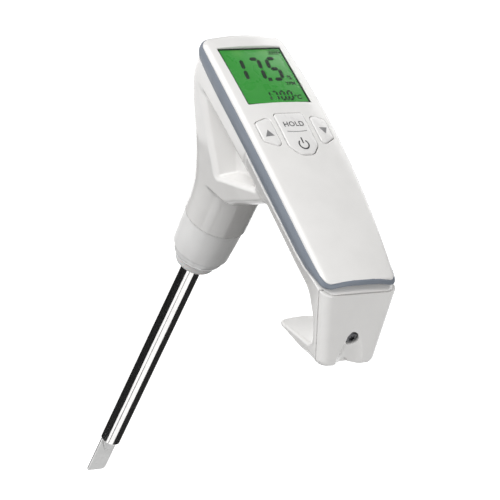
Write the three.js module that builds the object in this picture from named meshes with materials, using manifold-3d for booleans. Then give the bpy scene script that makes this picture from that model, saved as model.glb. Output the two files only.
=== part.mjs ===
// Handheld frying oil tester: an angled display handle on a vertical stainless probe.
// Units are millimetres. +Z runs up the probe from the tip of its sensor, +X points from the
// probe towards the foot of the handle, and the tester is symmetric about the plane Y = 0.
import * as THREE from 'three';
import { mergeVertices } from 'three/addons/utils/BufferGeometryUtils.js';
import Module from 'manifold-3d';

const wasm = await Module();
wasm.setup();

// ---------------------------------------------------------------- driving dimensions
const GAP = 0.3; // clearance between neighbouring pieces
const BIG = 60; // reach of cutting tools

// The crown of the handle is an arc in the plane Y = 0.
const CROWN_RADIUS = 600;
const CROWN_CENTRE = new THREE.Vector2(-70.2, -353);
const HEAD_X = -37;
const FOOT_X = 100.1;
const WIDEST_X = 15; // the handle is widest here and narrows to both ends
const WIDEST_HALF_WIDTH = 24.5;
const WIDTH_LOSS = 3.6; // lost from the half width over the next length
const WIDTH_LOSS_LENGTH = 74;
const FLOOR_DEPTH = 18.4;
const COVER_WALL = 2.2;
const SKIRT_RISE = 1.6; // the cover's skirt ends this much above the foot of the band

const BAND_DEPTH = 9.6; // how far under the crown the grey band ends
const BAND_END_DEPTH = 4.4;
const BAND_LOWER_FACET = 2.5; // height of the facet under the widest line of the band
const BAND_THICKNESS = 3.6;
const BAND_SET_BACK = 1.2;
const LID_DEPTH = 3.3; // underside of the cover's rim, in the middle and at the foot
const LID_END_DEPTH = 2.5;

const DISPLAY_X = -10.5;
const DISPLAY_LENGTH = 34.4;
const DISPLAY_WIDTH = 34.4;
const KEYS_X = 24.8;
const KEY_ROUNDING = 2.4;
const KEY_TOP = 0.3; // levels of the key caps, over the crown
const KEY_FOOT = -5.4;
const KEY_FLANGE = [-4.8, -3.9];
const KEY_FLANGE_REACH = 0.7;

const BOARD_X = 8;
const BOARD_LENGTH = 74;
const BOARD_WIDTH = 34;
const BOARD_THICKNESS = 1.6;
const BOARD_LEVEL = -12.8; // middle of the board, over the crown
const SWITCH_SIZE = 4.4;

const NECK_RADIUS = 15.2;
const NECK_BOTTOM = 167;
const NECK_BORE = 11;
const SLEEVE_TOP = 184;
const SLEEVE_SHOULDER = 166.7;
const SLEEVE_BOTTOM = 148;
const SLEEVE_FIT = 10.7; // radius of the part of the sleeve inside the neck
const SEAL_LEVEL = 175.2;
const RING_TOP = 147.7;
const RING_BOTTOM = 142.8;
const LIP_TOP = 142.5;
const LIP_BOTTOM = 138;
const TUBE_RADIUS = 5;
const TUBE_WALL = 0.5;
const TUBE_BOTTOM = 22;
const TUBE_TOP = 182;
const SENSOR_WIDTH = 9.6;
const SENSOR_THICKNESS = 0.6;
const SENSOR_TOP = 34;
const BLADE_NECK = 4.2; // half width of the part of the blade inside the tube
const PLUG_RADIUS = 4.3;
const PLUG_TOP = 38;
const CABLE_RADIUS = 1.5;

const CELL_LENGTH = 44.5;
const CELL_RADIUS = 5.2;
const CELL_OFFSET = 5.6;
const CELL_FOOT = new THREE.Vector3(95.4, 0, 211.9);
const CELL_TILT = THREE.MathUtils.degToRad(17.5);
const MOUTH_WIDTH = 22.6; // opening that the cells slide out through
const MOUTH_HEIGHT = 11;

const FACE_TOP = new THREE.Vector2(102.6, 219); // outer end face of the leg, top and bottom
const FACE_BOTTOM = new THREE.Vector2(115.8, 184.6);
const DOOR_THICKNESS = 4.5;
const DOOR_TOP = 216.8;
const SCREW_X = 108.8; // underside of the screw head
const SCREW_Z = 196.4;
const SCREW_HEAD_RADIUS = 2.9;
const SCREW_SHANK_RADIUS = 1.4;
const INSERT_RADIUS = 2.1;
const INSERT_START = 103.2;
const INSERT_LENGTH = 2.2;
const SCOOP_APEX = new THREE.Vector2(111, 200.4);
const SCOOP_TILT = THREE.MathUtils.degToRad(14);

// ---------------------------------------------------------------- materials
function plastic(color, roughness) {
  return new THREE.MeshStandardMaterial({ color, roughness, metalness: 0 });
}

function metal(color, roughness) {
  return new THREE.MeshStandardMaterial({ color, roughness, metalness: 1 });
}

const WHITE = plastic('#ecebe8', 0.25);
const GREY_BAND = plastic('#8a93a0', 0.55);
const KEY_WHITE = plastic('#e6e4e1', 0.35);
const CLEAR = plastic('#3c9b40', 0.1);
const LCD_GLASS = plastic('#2f7a36', 0.15);
const BACKLIGHT = plastic('#dfe8d8', 0.5);
const SILICONE = plastic('#c9c6c1', 0.7);
const BLACK_RUBBER = plastic('#26272a', 0.8);
const BOARD_GREEN = plastic('#1f5c3a', 0.5);
const CHIP_BLACK = plastic('#1a1a1c', 0.5);
const STEEL = metal('#b9bbbd', 0.25);
const DARK_STEEL = metal('#57585c', 0.4);
const BRASS = metal('#b8924a', 0.35);
const NICKEL = metal('#c8c8c4', 0.3);
const CELL_JACKET = plastic('#4a5058', 0.35);
const CERAMIC = plastic('#f3f2ee', 0.3);
const CERAMIC_BACK = plastic('#5f6266', 0.5);
const CABLE_JACKET = plastic('#3a3c40', 0.6);

// ---------------------------------------------------------------- solids and booleans
function solid(geometry) {
  const bare = geometry.clone();
  bare.deleteAttribute('normal');
  bare.deleteAttribute('uv');
  const merged = mergeVertices(bare, 1e-4);
  const vertProperties = new Float32Array(merged.attributes.position.array);
  const triVerts = new Uint32Array(merged.index.array);
  return new wasm.Manifold(new wasm.Mesh({ numProp: 3, vertProperties, triVerts }));
}

function toGeometry(body) {
  const { vertProperties, triVerts, numProp } = body.getMesh();
  const positions = new Float32Array((vertProperties.length / numProp) * 3);
  for (let i = 0; i < positions.length / 3; i += 1) {
    positions.set(vertProperties.subarray(i * numProp, i * numProp + 3), i * 3);
  }
  const geometry = new THREE.BufferGeometry();
  geometry.setAttribute('position', new THREE.BufferAttribute(positions, 3));
  geometry.setIndex(new THREE.BufferAttribute(new Uint32Array(triVerts), 1));
  geometry.computeVertexNormals();
  return geometry;
}

function join(first, ...others) {
  return others.reduce((body, other) => body.add(other), first);
}

function cut(first, ...tools) {
  return tools.reduce((body, tool) => body.subtract(tool), first);
}

function box(sizeX, sizeY, sizeZ, x = 0, y = 0, z = 0) {
  return solid(new THREE.BoxGeometry(sizeX, sizeY, sizeZ).translate(x, y, z));
}

function cylinder(radius, bottom, top, x = 0, y = 0, segments = 32) {
  const geometry = new THREE.CylinderGeometry(radius, radius, top - bottom, segments);
  return solid(geometry.rotateX(Math.PI / 2).translate(x, y, (top + bottom) / 2));
}

function cylinderAlongX(radius, start, end, y, z, segments = 24) {
  const geometry = new THREE.CylinderGeometry(radius, radius, end - start, segments);
  return solid(geometry.rotateZ(-Math.PI / 2).translate((start + end) / 2, y, z));
}

// A turned piece about Z, from [radius, height] points that run anticlockwise in section.
function turned(points, segments = 48) {
  const profile = points.map(([radius, height]) => new THREE.Vector2(radius, height));
  return solid(new THREE.LatheGeometry(profile, segments).rotateX(Math.PI / 2));
}

// A side profile in X and Z, extruded across Y.
function sideProfile(points, halfDepth = BIG) {
  const shape = new THREE.Shape(points.map(([x, z]) => new THREE.Vector2(x, z)));
  const geometry = new THREE.ExtrudeGeometry(shape, { depth: 2 * halfDepth, bevelEnabled: false });
  return solid(geometry.rotateX(Math.PI / 2).translate(0, halfDepth, 0));
}

// An outline in X and Y, extruded up from bottom to top.
function planProfile(shape, bottom, top, curveSegments = 8) {
  const options = { depth: top - bottom, bevelEnabled: false, curveSegments };
  return solid(new THREE.ExtrudeGeometry(shape, options).translate(0, 0, bottom));
}

// An outline in Y and Z, extruded along X.
function frontProfile(points, start, end) {
  const shape = new THREE.Shape(points.map(([y, z]) => new THREE.Vector2(y, z)));
  const geometry = new THREE.ExtrudeGeometry(shape, { depth: end - start, bevelEnabled: false });
  const turn = new THREE.Matrix4().makeBasis(
    new THREE.Vector3(0, 1, 0),
    new THREE.Vector3(0, 0, 1),
    new THREE.Vector3(1, 0, 0),
  );
  return solid(geometry.applyMatrix4(turn).translate(start, 0, 0));
}

function signedVolume(positions, index) {
  const [a, b, c] = [new THREE.Vector3(), new THREE.Vector3(), new THREE.Vector3()];
  let volume = 0;
  for (let i = 0; i < index.length; i += 3) {
    a.fromArray(positions, index[i] * 3);
    b.fromArray(positions, index[i + 1] * 3);
    c.fromArray(positions, index[i + 2] * 3);
    volume += a.dot(b.cross(c)) / 6;
  }
  return volume;
}

// A skin over rings of equal length, with flat convex ends.
function loft(rings) {
  const count = rings[0].length;
  const positions = rings.flat().flatMap((point) => point.toArray());
  const index = [];
  for (let ring = 0; ring + 1 < rings.length; ring += 1) {
    for (let i = 0; i < count; i += 1) {
      const here = ring * count + i;
      const next = ring * count + ((i + 1) % count);
      index.push(here, next, here + count, next, next + count, here + count);
    }
  }
  const last = (rings.length - 1) * count;
  for (let i = 1; i + 1 < count; i += 1) {
    index.push(0, i + 1, i);
    index.push(last, last + i, last + i + 1);
  }
  if (signedVolume(positions, index) < 0) {
    index.reverse();
  }
  const geometry = new THREE.BufferGeometry();
  geometry.setAttribute('position', new THREE.Float32BufferAttribute(positions, 3));
  geometry.setIndex(index);
  return solid(geometry);
}

// ---------------------------------------------------------------- handle shape
function stationAngle(x) {
  return Math.asin((x - CROWN_CENTRE.x) / CROWN_RADIUS);
}

// The point at side distance y and the given depth under the crown at station x.
function onHandle(x, y, depth) {
  const angle = stationAngle(x);
  const radius = CROWN_RADIUS - depth;
  return new THREE.Vector3(
    CROWN_CENTRE.x + radius * Math.sin(angle),
    y,
    CROWN_CENTRE.y + radius * Math.cos(angle),
  );
}

function halfWidth(x) {
  return WIDEST_HALF_WIDTH - WIDTH_LOSS * ((x - WIDEST_X) / WIDTH_LOSS_LENGTH) ** 2;
}

function bandDepth(x) {
  const taper = THREE.MathUtils.smoothstep(x, 82, FOOT_X);
  return THREE.MathUtils.lerp(BAND_DEPTH, BAND_END_DEPTH, taper);
}

function lidDepth(x) {
  const taper = THREE.MathUtils.smoothstep(x, 82, FOOT_X);
  return THREE.MathUtils.lerp(LID_DEPTH, LID_END_DEPTH, taper);
}

function sideDepth(x) {
  return THREE.MathUtils.lerp(17, 14.4, THREE.MathUtils.smoothstep(x, 40, 95));
}

function stations(start, end, step = 12) {
  const count = Math.max(1, Math.round((end - start) / step));
  return Array.from({ length: count + 1 }, (_, i) => start + ((end - start) * i) / count);
}

// A body along the handle whose section is mirrored from [y, depth] points, top to bottom.
function handleBody(start, end, sectionAt, step) {
  const rings = stations(start, end, step).map((x) => {
    const half = sectionAt(x);
    const near = half.map(([y, depth]) => onHandle(x, y, depth));
    const far = half.slice(1, -1).reverse().map(([y, depth]) => onHandle(x, -y, depth));
    return [...near, ...far];
  });
  return loft(rings);
}

// The plan outline of the head, whose corners are rounded, moved in by inset.
function headOutline(inset) {
  const side = halfWidth(HEAD_X + 9) + 0.2 - inset;
  const front = HEAD_X + inset;
  const shape = new THREE.Shape();
  shape.moveTo(BIG * 3, -BIG);
  shape.lineTo(BIG * 3, BIG);
  shape.lineTo(front + 9, BIG);
  shape.lineTo(front + 9, side);
  shape.quadraticCurveTo(front + 1.6, side - 0.3, front + 1.2, side - 8);
  shape.quadraticCurveTo(front - 1.2, 0, front + 1.2, 8 - side);
  shape.quadraticCurveTo(front + 1.6, 0.3 - side, front + 9, -side);
  shape.lineTo(front + 9, -BIG);
  shape.closePath();
  return planProfile(shape, 190, 270);
}

// The plan outline of the foot end, rounded at its corners, moved in by inset.
function footOutline(inset) {
  const side = halfWidth(FOOT_X) - inset;
  const end = FACE_TOP.x - inset;
  const shape = new THREE.Shape();
  shape.moveTo(-BIG * 2, -BIG);
  shape.lineTo(end - 5, -BIG);
  shape.lineTo(end - 5, -side - 1);
  shape.quadraticCurveTo(end - 0.4, -side, end, 4 - side);
  shape.lineTo(end, side - 4);
  shape.quadraticCurveTo(end - 0.4, side, end - 5, side + 1);
  shape.lineTo(end - 5, BIG);
  shape.lineTo(-BIG * 2, BIG);
  shape.closePath();
  return planProfile(shape, 190, 270);
}

function trimEnds(body, headInset, footInset) {
  return body.intersect(headOutline(headInset)).intersect(footOutline(footInset));
}

// A placement on the handle: local X runs towards the foot and local Z out of the crown.
function handleGroup(x) {
  const group = new THREE.Group();
  group.position.copy(onHandle(x, 0, 0));
  group.rotation.y = stationAngle(x);
  return group;
}

// A tool body written in a placement's own axes, moved to where the placement is.
function placed(body, group) {
  group.updateMatrixWorld(true);
  return solid(toGeometry(body).applyMatrix4(group.matrixWorld));
}

// ---------------------------------------------------------------- key outlines
function keyOutline(corners, radius, grow = 0) {
  const centre = new THREE.Vector2();
  corners.forEach(([x, y]) => centre.add(new THREE.Vector2(x, y).divideScalar(corners.length)));
  const points = corners.map(([x, y]) => {
    const offset = new THREE.Vector2(x, y).sub(centre);
    return offset.clone().setLength(offset.length() + grow).add(centre);
  });
  const shape = new THREE.Shape();
  points.forEach((point, i) => {
    const before = points[(i + points.length - 1) % points.length];
    const after = points[(i + 1) % points.length];
    const enter = before.clone().sub(point).setLength(radius).add(point);
    const leave = after.clone().sub(point).setLength(radius).add(point);
    if (i === 0) {
      shape.moveTo(enter.x, enter.y);
    } else {
      shape.lineTo(enter.x, enter.y);
    }
    shape.quadraticCurveTo(point.x, point.y, leave.x, leave.y);
  });
  shape.closePath();
  return shape;
}

// Corners are [x, y] on the key plane, with x towards the foot of the handle.
const CENTRE_KEY = [[-12, -8.1], [-12, 8.1], [7, 8.1], [12, 3.6], [12, -3.6], [7, -8.1]];
const SIDE_KEY = [[-10.6, 10.5], [-8.2, 19.2], [2.6, 19.2], [6.4, 10.5]];
const KEYS = [
  { name: 'button_hold_power', corners: CENTRE_KEY.slice().reverse() },
  { name: 'button_down', corners: SIDE_KEY.slice().reverse() },
  { name: 'button_up', corners: SIDE_KEY.map(([x, y]) => [x, -y]) },
];

function keyCap(corners) {
  const capOutline = keyOutline(corners, KEY_ROUNDING, -GAP);
  const flangeOutline = keyOutline(corners, KEY_ROUNDING, KEY_FLANGE_REACH);
  const cap = planProfile(capOutline, KEY_FOOT, KEY_TOP, 4);
  const flange = planProfile(flangeOutline, ...KEY_FLANGE, 4);
  return join(cap, flange);
}

// ---------------------------------------------------------------- casing
function frontCover() {
  const lid = handleBody(HEAD_X - 3, FOOT_X + 6, (x) => {
    const w = halfWidth(x) - BAND_SET_BACK;
    return [
      [0, 0],
      [0.45 * w, 0.25],
      [0.8 * w, 1],
      [w - 1.1, 1.5],
      [w, lidDepth(x) - 0.5],
      [w, lidDepth(x)],
      [0, lidDepth(x)],
    ];
  });
  const skirt = handleBody(HEAD_X - 3, FOOT_X + 6, (x) => {
    const w = halfWidth(x) - BAND_THICKNESS - GAP;
    return [[0, 1], [w, 2.2], [w, bandDepth(x) - SKIRT_RISE], [0, bandDepth(x) - SKIRT_RISE]];
  });
  const hollow = handleBody(HEAD_X + 6.2, FOOT_X - 4.4, (x) => {
    const w = halfWidth(x) - BAND_THICKNESS - GAP - 1.8;
    return [[0, COVER_WALL], [0.45 * w, COVER_WALL + 0.2], [w, COVER_WALL + 1.2], [w, 12], [0, 12]];
  });
  const outerLid = trimEnds(lid, BAND_SET_BACK, BAND_SET_BACK);
  const innerSkirt = trimEnds(skirt, BAND_THICKNESS + GAP, BAND_THICKNESS + GAP);
  const display = handleGroup(DISPLAY_X);
  const opening = placed(box(DISPLAY_LENGTH, DISPLAY_WIDTH, 12, 0, 0, 0), display);
  const keyHoles = KEYS.map(({ corners }) => {
    const hole = planProfile(keyOutline(corners, KEY_ROUNDING), -8, 4, 4);
    return placed(hole, handleGroup(KEYS_X));
  });
  const relief = placed(box(40, 41, 4, 0, 0, -5.2), display);
  const flangeRelief = placed(box(30.4, 41, 4.4, -1, 0, -5.9), handleGroup(KEYS_X));
  return cut(join(outerLid, innerSkirt), hollow, opening, ...keyHoles, relief, flangeRelief);
}

function sealBand() {
  const outer = handleBody(HEAD_X - 3, FOOT_X + 6, (x) => {
    const w = halfWidth(x);
    const depth = bandDepth(x);
    const top = lidDepth(x) + GAP;
    const widest = Math.max(depth - BAND_LOWER_FACET, top + 0.5);
    return [[0, top], [w - BAND_SET_BACK + 0.2, top], [w, widest], [w - 0.4, depth], [0, depth]];
  });
  const inner = handleBody(HEAD_X - 4, FOOT_X + 8, (x) => {
    const w = halfWidth(x) - BAND_THICKNESS;
    return [[0, -4], [w, -4], [w, 14], [0, 14]];
  });
  const ring = trimEnds(outer, 0, 0);
  return cut(ring, trimEnds(inner, BAND_THICKNESS, BAND_THICKNESS));
}

// Depth of the seam that the band rests on.
function seamDepth(x) {
  return bandDepth(x) + GAP;
}

function handleShell() {
  const outer = handleBody(HEAD_X - 3, FOOT_X + 6, (x) => {
    const w = halfWidth(x);
    const seam = seamDepth(x);
    return [
      [0, seam],
      [w - 0.3, seam],
      [w - 0.6, seam + 3],
      [17.4, sideDepth(x)],
      [13.4, FLOOR_DEPTH - 0.2],
      [0, FLOOR_DEPTH],
    ];
  });
  return trimEnds(outer, 0.2, 0.2);
}

function shellHollow() {
  return handleBody(HEAD_X + 5, FOOT_X - 4.6, (x) => {
    const w = halfWidth(x);
    return [
      [0, 2],
      [w - BAND_THICKNESS - 0.4, 2],
      [w - BAND_THICKNESS - 0.4, seamDepth(x) + 3],
      [15.4, sideDepth(x) - 1.8],
      [12.4, FLOOR_DEPTH - 1.8],
      [0, FLOOR_DEPTH - 1.8],
    ];
  });
}

// One level of the web between neck and head: a rounded rectangle in a horizontal plane.
function webRing([z, front, back, half, radius]) {
  const ring = [];
  const corners = [[back, half, 0], [front, half, 1], [front, -half, 2], [back, -half, 3]];
  corners.forEach(([x, y, quarter]) => {
    const cx = x - Math.sign(x) * radius;
    const cy = y - Math.sign(y) * radius;
    for (let i = 0; i <= 5; i += 1) {
      const angle = ((quarter + i / 5) * Math.PI) / 2;
      ring.push(new THREE.Vector3(cx + radius * Math.cos(angle), cy + radius * Math.sin(angle), z));
    }
  });
  return ring;
}

function web() {
  const levels = [
    [NECK_BOTTOM, -NECK_RADIUS, NECK_RADIUS, NECK_RADIUS, NECK_RADIUS - 0.05],
    [184, -16.6, 15.2, 15.2, 14.9],
    [192, -20.4, 18.6, 16, 12],
    [199, -23, 26, 17, 11],
    [206, -26.6, 33.5, 18.3, 10],
    [214, -31, 41.5, 19.5, 9],
    [222, -34.4, 41.5, 20.6, 8],
    [229, -35.6, 27, 21, 8],
  ];
  return loft(levels.map(webRing));
}

// Hand pocket in each side of the web, narrowing inwards.
function pocket(side) {
  const inner = [[-4, 224], [12, 206], [31, 219.2]];
  const outer = [[-28, 227.4], [2, 192], [35, 218.8]];
  const ring = (points, y) => points.map(([x, z]) => new THREE.Vector3(x, side * y, z));
  return loft([ring(inner, 9), ring(outer, 25)]);
}

function hook() {
  const blade = sideProfile([
    [77, 177.2],
    [FACE_BOTTOM.x - 2, FACE_BOTTOM.y - 0.6],
    [110, 196],
    [101, 196],
    [103.4, 191],
    [101.5, 187.6],
    [77, 178.4],
  ]);
  const plan = new THREE.Shape();
  plan.moveTo(120, -10.5);
  plan.lineTo(120, 10.5);
  plan.lineTo(104, 12);
  plan.lineTo(84, 14);
  plan.quadraticCurveTo(79.4, 14.2, 78, 9.5);
  plan.quadraticCurveTo(76.4, 0, 78, -9.5);
  plan.quadraticCurveTo(79.4, -14.2, 84, -14);
  plan.lineTo(104, -12);
  plan.closePath();
  return blade.intersect(planProfile(plan, 170, 200));
}

function leg() {
  const side = sideProfile([
    [FACE_TOP.x + 0.96, FACE_TOP.y - 2.5],
    [FACE_BOTTOM.x, FACE_BOTTOM.y],
    [105, 182.6],
    [103.2, 193.2],
    [98, 202.4],
    [93.2, 208.4],
    [90, 214],
    [95, 216],
  ]);
  const front = frontProfile([
    [-20.4, 222],
    [-15.3, 190],
    [-14, 187],
    [-9, 182],
    [9, 182],
    [14, 187],
    [15.3, 190],
    [20.4, 222],
  ], 80, 125);
  return side.intersect(front);
}

// Everything further out than a plane parallel to the end face, up to the given height.
// The plane lies where the battery cover parts from the leg, moved outwards by shift.
function doorRegion(shift, top) {
  const run = FACE_BOTTOM.clone().sub(FACE_TOP);
  const normal = new THREE.Vector2(-run.y, run.x).normalize();
  const start = FACE_TOP.clone().addScaledVector(normal, shift - DOOR_THICKNESS);
  const slope = run.x / run.y;
  const xAt = (z) => start.x + slope * (z - start.y);
  return sideProfile([[xAt(170), 170], [140, 170], [140, top], [xAt(top), top]]);
}

// A conical driver scoop that opens downwards along the end face, from its apex by the screw.
function scoop() {
  const length = 26;
  const run = FACE_BOTTOM.clone().sub(FACE_TOP);
  const lean = Math.atan2(run.x, -run.y);
  const cone = new THREE.ConeGeometry(11, length, 24).translate(0, -length / 2, 0);
  cone.scale(1, 1, 1.15).rotateY(Math.PI / 2).rotateX(Math.PI / 2);
  cone.rotateY(-lean - SCOOP_TILT);
  return solid(cone.translate(SCOOP_APEX.x, 0, SCOOP_APEX.y));
}

function cellGroup(y) {
  const group = new THREE.Group();
  group.position.set(CELL_FOOT.x, y, CELL_FOOT.z);
  group.rotation.y = CELL_TILT;
  return group;
}

function mouth() {
  return placed(box(26, MOUTH_WIDTH, MOUTH_HEIGHT, -3, 0, 0), cellGroup(0));
}

function rearHousing() {
  const neckBore = cylinder(NECK_BORE, NECK_BOTTOM - 5, 190);
  const cableWay = cylinder(4.5, 180, 232);
  const insertHole = cylinderAlongX(INSERT_RADIUS + GAP, INSERT_START - GAP, 130, 0, SCREW_Z);
  const body = join(handleShell(), web(), leg(), hook());
  return cut(
    body,
    shellHollow(),
    pocket(1),
    pocket(-1),
    neckBore,
    cableWay,
    mouth(),
    doorRegion(0, DOOR_TOP),
    insertHole,
  );
}

function batteryCover() {
  const plate = join(handleShell(), leg()).intersect(doorRegion(GAP, DOOR_TOP - GAP));
  const hole = cylinderAlongX(SCREW_SHANK_RADIUS + GAP, 90, 130, 0, SCREW_Z);
  const head = cylinderAlongX(SCREW_HEAD_RADIUS + GAP, SCREW_X - GAP, 130, 0, SCREW_Z);
  const sealGroove = placed(box(40, 27, 14.6), cellGroup(0));
  const inside = doorRegion(0, DOOR_TOP).subtract(doorRegion(GAP + 1.8, DOOR_TOP + 1));
  return cut(plate, scoop(), hole, head, sealGroove.intersect(inside));
}

function batterySeal() {
  const outer = placed(box(40, 26.2, 13.8), cellGroup(0));
  const inner = placed(box(42, MOUTH_WIDTH + 0.2, MOUTH_HEIGHT + 0.2), cellGroup(0));
  const slice = doorRegion(GAP, DOOR_TOP - 1.2).subtract(doorRegion(GAP + 1.2, DOOR_TOP));
  return cut(outer.intersect(slice), inner);
}

// ---------------------------------------------------------------- display, keys and board
function displayWindow() {
  const land = box(DISPLAY_LENGTH - 2 * GAP, DISPLAY_WIDTH - 2 * GAP, 2.4, 0, 0, -2.9);
  const flange = box(35.8, 36, 1, 0, 0, -4.1);
  return join(land, flange);
}

function keypadMat() {
  const sheet = box(29, 37, 1, -1, 0, -7.2);
  const pads = KEYS.map(({ corners }) => (
    planProfile(keyOutline(corners, KEY_ROUNDING, -2), -7.2, -6.4, 4)
  ));
  return join(sheet, ...pads);
}

function mainBoard() {
  const board = box(BOARD_LENGTH, BOARD_WIDTH, BOARD_THICKNESS, 0, 0, BOARD_LEVEL);
  const holes = boardScrewPlaces().map(([x, y]) => cylinder(1.2, -16, -8, x, y, 16));
  return cut(board, ...holes);
}

function boardScrewPlaces() {
  return [[-34, 14], [-34, -14], [34, 14], [34, -14]];
}

function smallScrew(headRadius, shankRadius, length) {
  const points = [
    [0, -length],
    [shankRadius, -length],
    [shankRadius, 0],
    [headRadius, 0],
    [headRadius, 1],
    [headRadius * 0.6, 1.5],
    [0, 1.5],
  ];
  const slot = box(headRadius * 2.4, 0.5, 0.6, 0, 0, 1.5);
  const cross = box(0.5, headRadius * 2.4, 0.6, 0, 0, 1.5);
  return cut(turned(points, 20), slot, cross);
}

// ---------------------------------------------------------------- battery compartment
function cell() {
  const start = -CELL_LENGTH;
  const body = cylinderAlongX(CELL_RADIUS, start, -1, 0, 0, 28);
  const nub = cylinderAlongX(1.9, -1.5, 0, 0, 0, 16);
  return join(body, nub);
}

function batteryCradle() {
  const length = CELL_LENGTH - 2;
  const block = box(length, 13.6, 4.6, -length / 2 - 0.4, 0, -3);
  const rooms = [-CELL_OFFSET, CELL_OFFSET].map((y) => (
    cylinderAlongX(CELL_RADIUS + 0.25, -60, 10, y, 0, 28)
  ));
  return cut(block, ...rooms);
}

// ---------------------------------------------------------------- probe
function probeSleeve() {
  return turned([
    [TUBE_RADIUS + 2.2, SLEEVE_BOTTOM],
    [13.4, SLEEVE_BOTTOM],
    [14.4, SLEEVE_SHOULDER - 0.5],
    [14.4, SLEEVE_SHOULDER],
    [SLEEVE_FIT, SLEEVE_SHOULDER],
    [SLEEVE_FIT, SEAL_LEVEL - 1.2],
    [SLEEVE_FIT - 1.1, SEAL_LEVEL - 1.2],
    [SLEEVE_FIT - 1.1, SEAL_LEVEL + 1.2],
    [SLEEVE_FIT, SEAL_LEVEL + 1.2],
    [SLEEVE_FIT, SLEEVE_TOP],
    [TUBE_RADIUS + 2.2, SLEEVE_TOP],
    [TUBE_RADIUS + 2.2, SLEEVE_BOTTOM],
  ]);
}

function sleeveRing() {
  return turned([
    [TUBE_RADIUS + 1.2, RING_BOTTOM],
    [10.6, RING_BOTTOM],
    [11.6, RING_BOTTOM + 1.2],
    [12, RING_TOP],
    [TUBE_RADIUS + 1.2, RING_TOP],
    [TUBE_RADIUS + 1.2, RING_BOTTOM],
  ]);
}

function glandLip() {
  return turned([
    [TUBE_RADIUS + GAP, LIP_BOTTOM + 0.4],
    [6.4, LIP_BOTTOM],
    [8.8, LIP_BOTTOM + 0.3],
    [9.9, LIP_BOTTOM + 1.4],
    [10.1, LIP_BOTTOM + 2.8],
    [9.4, LIP_TOP],
    [TUBE_RADIUS + GAP, LIP_TOP],
    [TUBE_RADIUS + GAP, LIP_BOTTOM + 0.4],
  ]);
}

function glandBush() {
  return turned([
    [TUBE_RADIUS + 0.1, SLEEVE_BOTTOM],
    [TUBE_RADIUS + 1.9, SLEEVE_BOTTOM],
    [TUBE_RADIUS + 1.9, SLEEVE_TOP - 8],
    [TUBE_RADIUS + 0.1, SLEEVE_TOP - 8],
    [TUBE_RADIUS + 0.1, SLEEVE_BOTTOM],
  ], 32);
}

function probeTube() {
  return turned([
    [TUBE_RADIUS - TUBE_WALL, TUBE_BOTTOM],
    [TUBE_RADIUS, TUBE_BOTTOM],
    [TUBE_RADIUS, TUBE_TOP],
    [TUBE_RADIUS - TUBE_WALL, TUBE_TOP],
    [TUBE_RADIUS - TUBE_WALL, TUBE_BOTTOM],
  ]);
}

function ring(major, minor, z, segments = 32) {
  return solid(new THREE.TorusGeometry(major, minor, 8, segments).translate(0, 0, z));
}

// The blade ends square to the probe, with one corner rounded off.
function bladeOutline(bottom, top, grow) {
  const half = SENSOR_WIDTH / 2 + grow;
  const shape = new THREE.Shape();
  shape.moveTo(-half, bottom);
  shape.lineTo(half - 2.4, bottom);
  shape.quadraticCurveTo(half, bottom + 0.2, half, bottom + 3);
  shape.lineTo(half, TUBE_BOTTOM - GAP);
  shape.lineTo(BLADE_NECK, TUBE_BOTTOM - GAP);
  shape.lineTo(BLADE_NECK, top);
  shape.lineTo(-BLADE_NECK, top);
  shape.lineTo(-BLADE_NECK, TUBE_BOTTOM - GAP);
  shape.lineTo(-half, TUBE_BOTTOM - GAP);
  shape.closePath();
  return shape.getPoints(5).map((point) => [point.x, point.y]);
}

function sensorPlate() {
  const start = -SENSOR_THICKNESS / 2;
  const outline = bladeOutline(0, SENSOR_TOP, 0).slice(0, -1);
  return frontProfile(outline, start, start + SENSOR_THICKNESS);
}

function sensorBacking() {
  const outline = bladeOutline(0.3, SENSOR_TOP - 4, -0.2).slice(0, -1);
  return frontProfile(outline, -0.9, -0.4);
}

function pottingPlug() {
  const cone = turned([
    [0, 14.5],
    [1.4, 14.6],
    [4.2, 20],
    [PLUG_RADIUS, TUBE_BOTTOM + 0.4],
    [PLUG_RADIUS, PLUG_TOP],
    [0, PLUG_TOP],
  ], 32);
  const slot = box(SENSOR_THICKNESS + 1.2, 12, 25, -0.3, 0, 22.4);
  const front = box(12, 12, 7.4, -6.9, 0, 18);
  return cut(cone, slot, front);
}

function cable() {
  const path = new THREE.CatmullRomCurve3([
    new THREE.Vector3(0, 0, PLUG_TOP + 0.4),
    new THREE.Vector3(0, 0, 110),
    new THREE.Vector3(0, 0, 190),
    new THREE.Vector3(0.2, 0, 212),
    new THREE.Vector3(0.2, 0, 221.5),
  ]);
  const section = new THREE.Shape().absarc(0, 0, CABLE_RADIUS, 0, Math.PI * 2);
  const options = { steps: 30, curveSegments: 4, bevelEnabled: false, extrudePath: path };
  return solid(new THREE.ExtrudeGeometry(section, options));
}

// ---------------------------------------------------------------- assembly
const group = new THREE.Group();

function place(name, body, material, parent = group) {
  const mesh = new THREE.Mesh(toGeometry(body), material);
  mesh.name = name;
  parent.add(mesh);
  return mesh;
}

function addCasing() {
  place('front_cover', frontCover(), WHITE);
  place('seal_band', sealBand(), GREY_BAND);
  place('rear_housing', rearHousing(), WHITE);
  place('battery_cover', batteryCover(), WHITE);
  place('battery_seal', batterySeal(), BLACK_RUBBER);
  const screw = new THREE.Group();
  screw.position.set(SCREW_X, 0, SCREW_Z);
  screw.rotation.y = Math.PI / 2;
  const screwBody = smallScrew(SCREW_HEAD_RADIUS, SCREW_SHANK_RADIUS, 5.4);
  place('cover_screw', screwBody, DARK_STEEL, screw);
  group.add(screw);
  const insert = cut(
    cylinderAlongX(INSERT_RADIUS, INSERT_START, INSERT_START + INSERT_LENGTH, 0, SCREW_Z),
    cylinderAlongX(SCREW_SHANK_RADIUS + 0.2, 90, 120, 0, SCREW_Z),
  );
  place('screw_insert', insert, BRASS);
}

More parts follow.
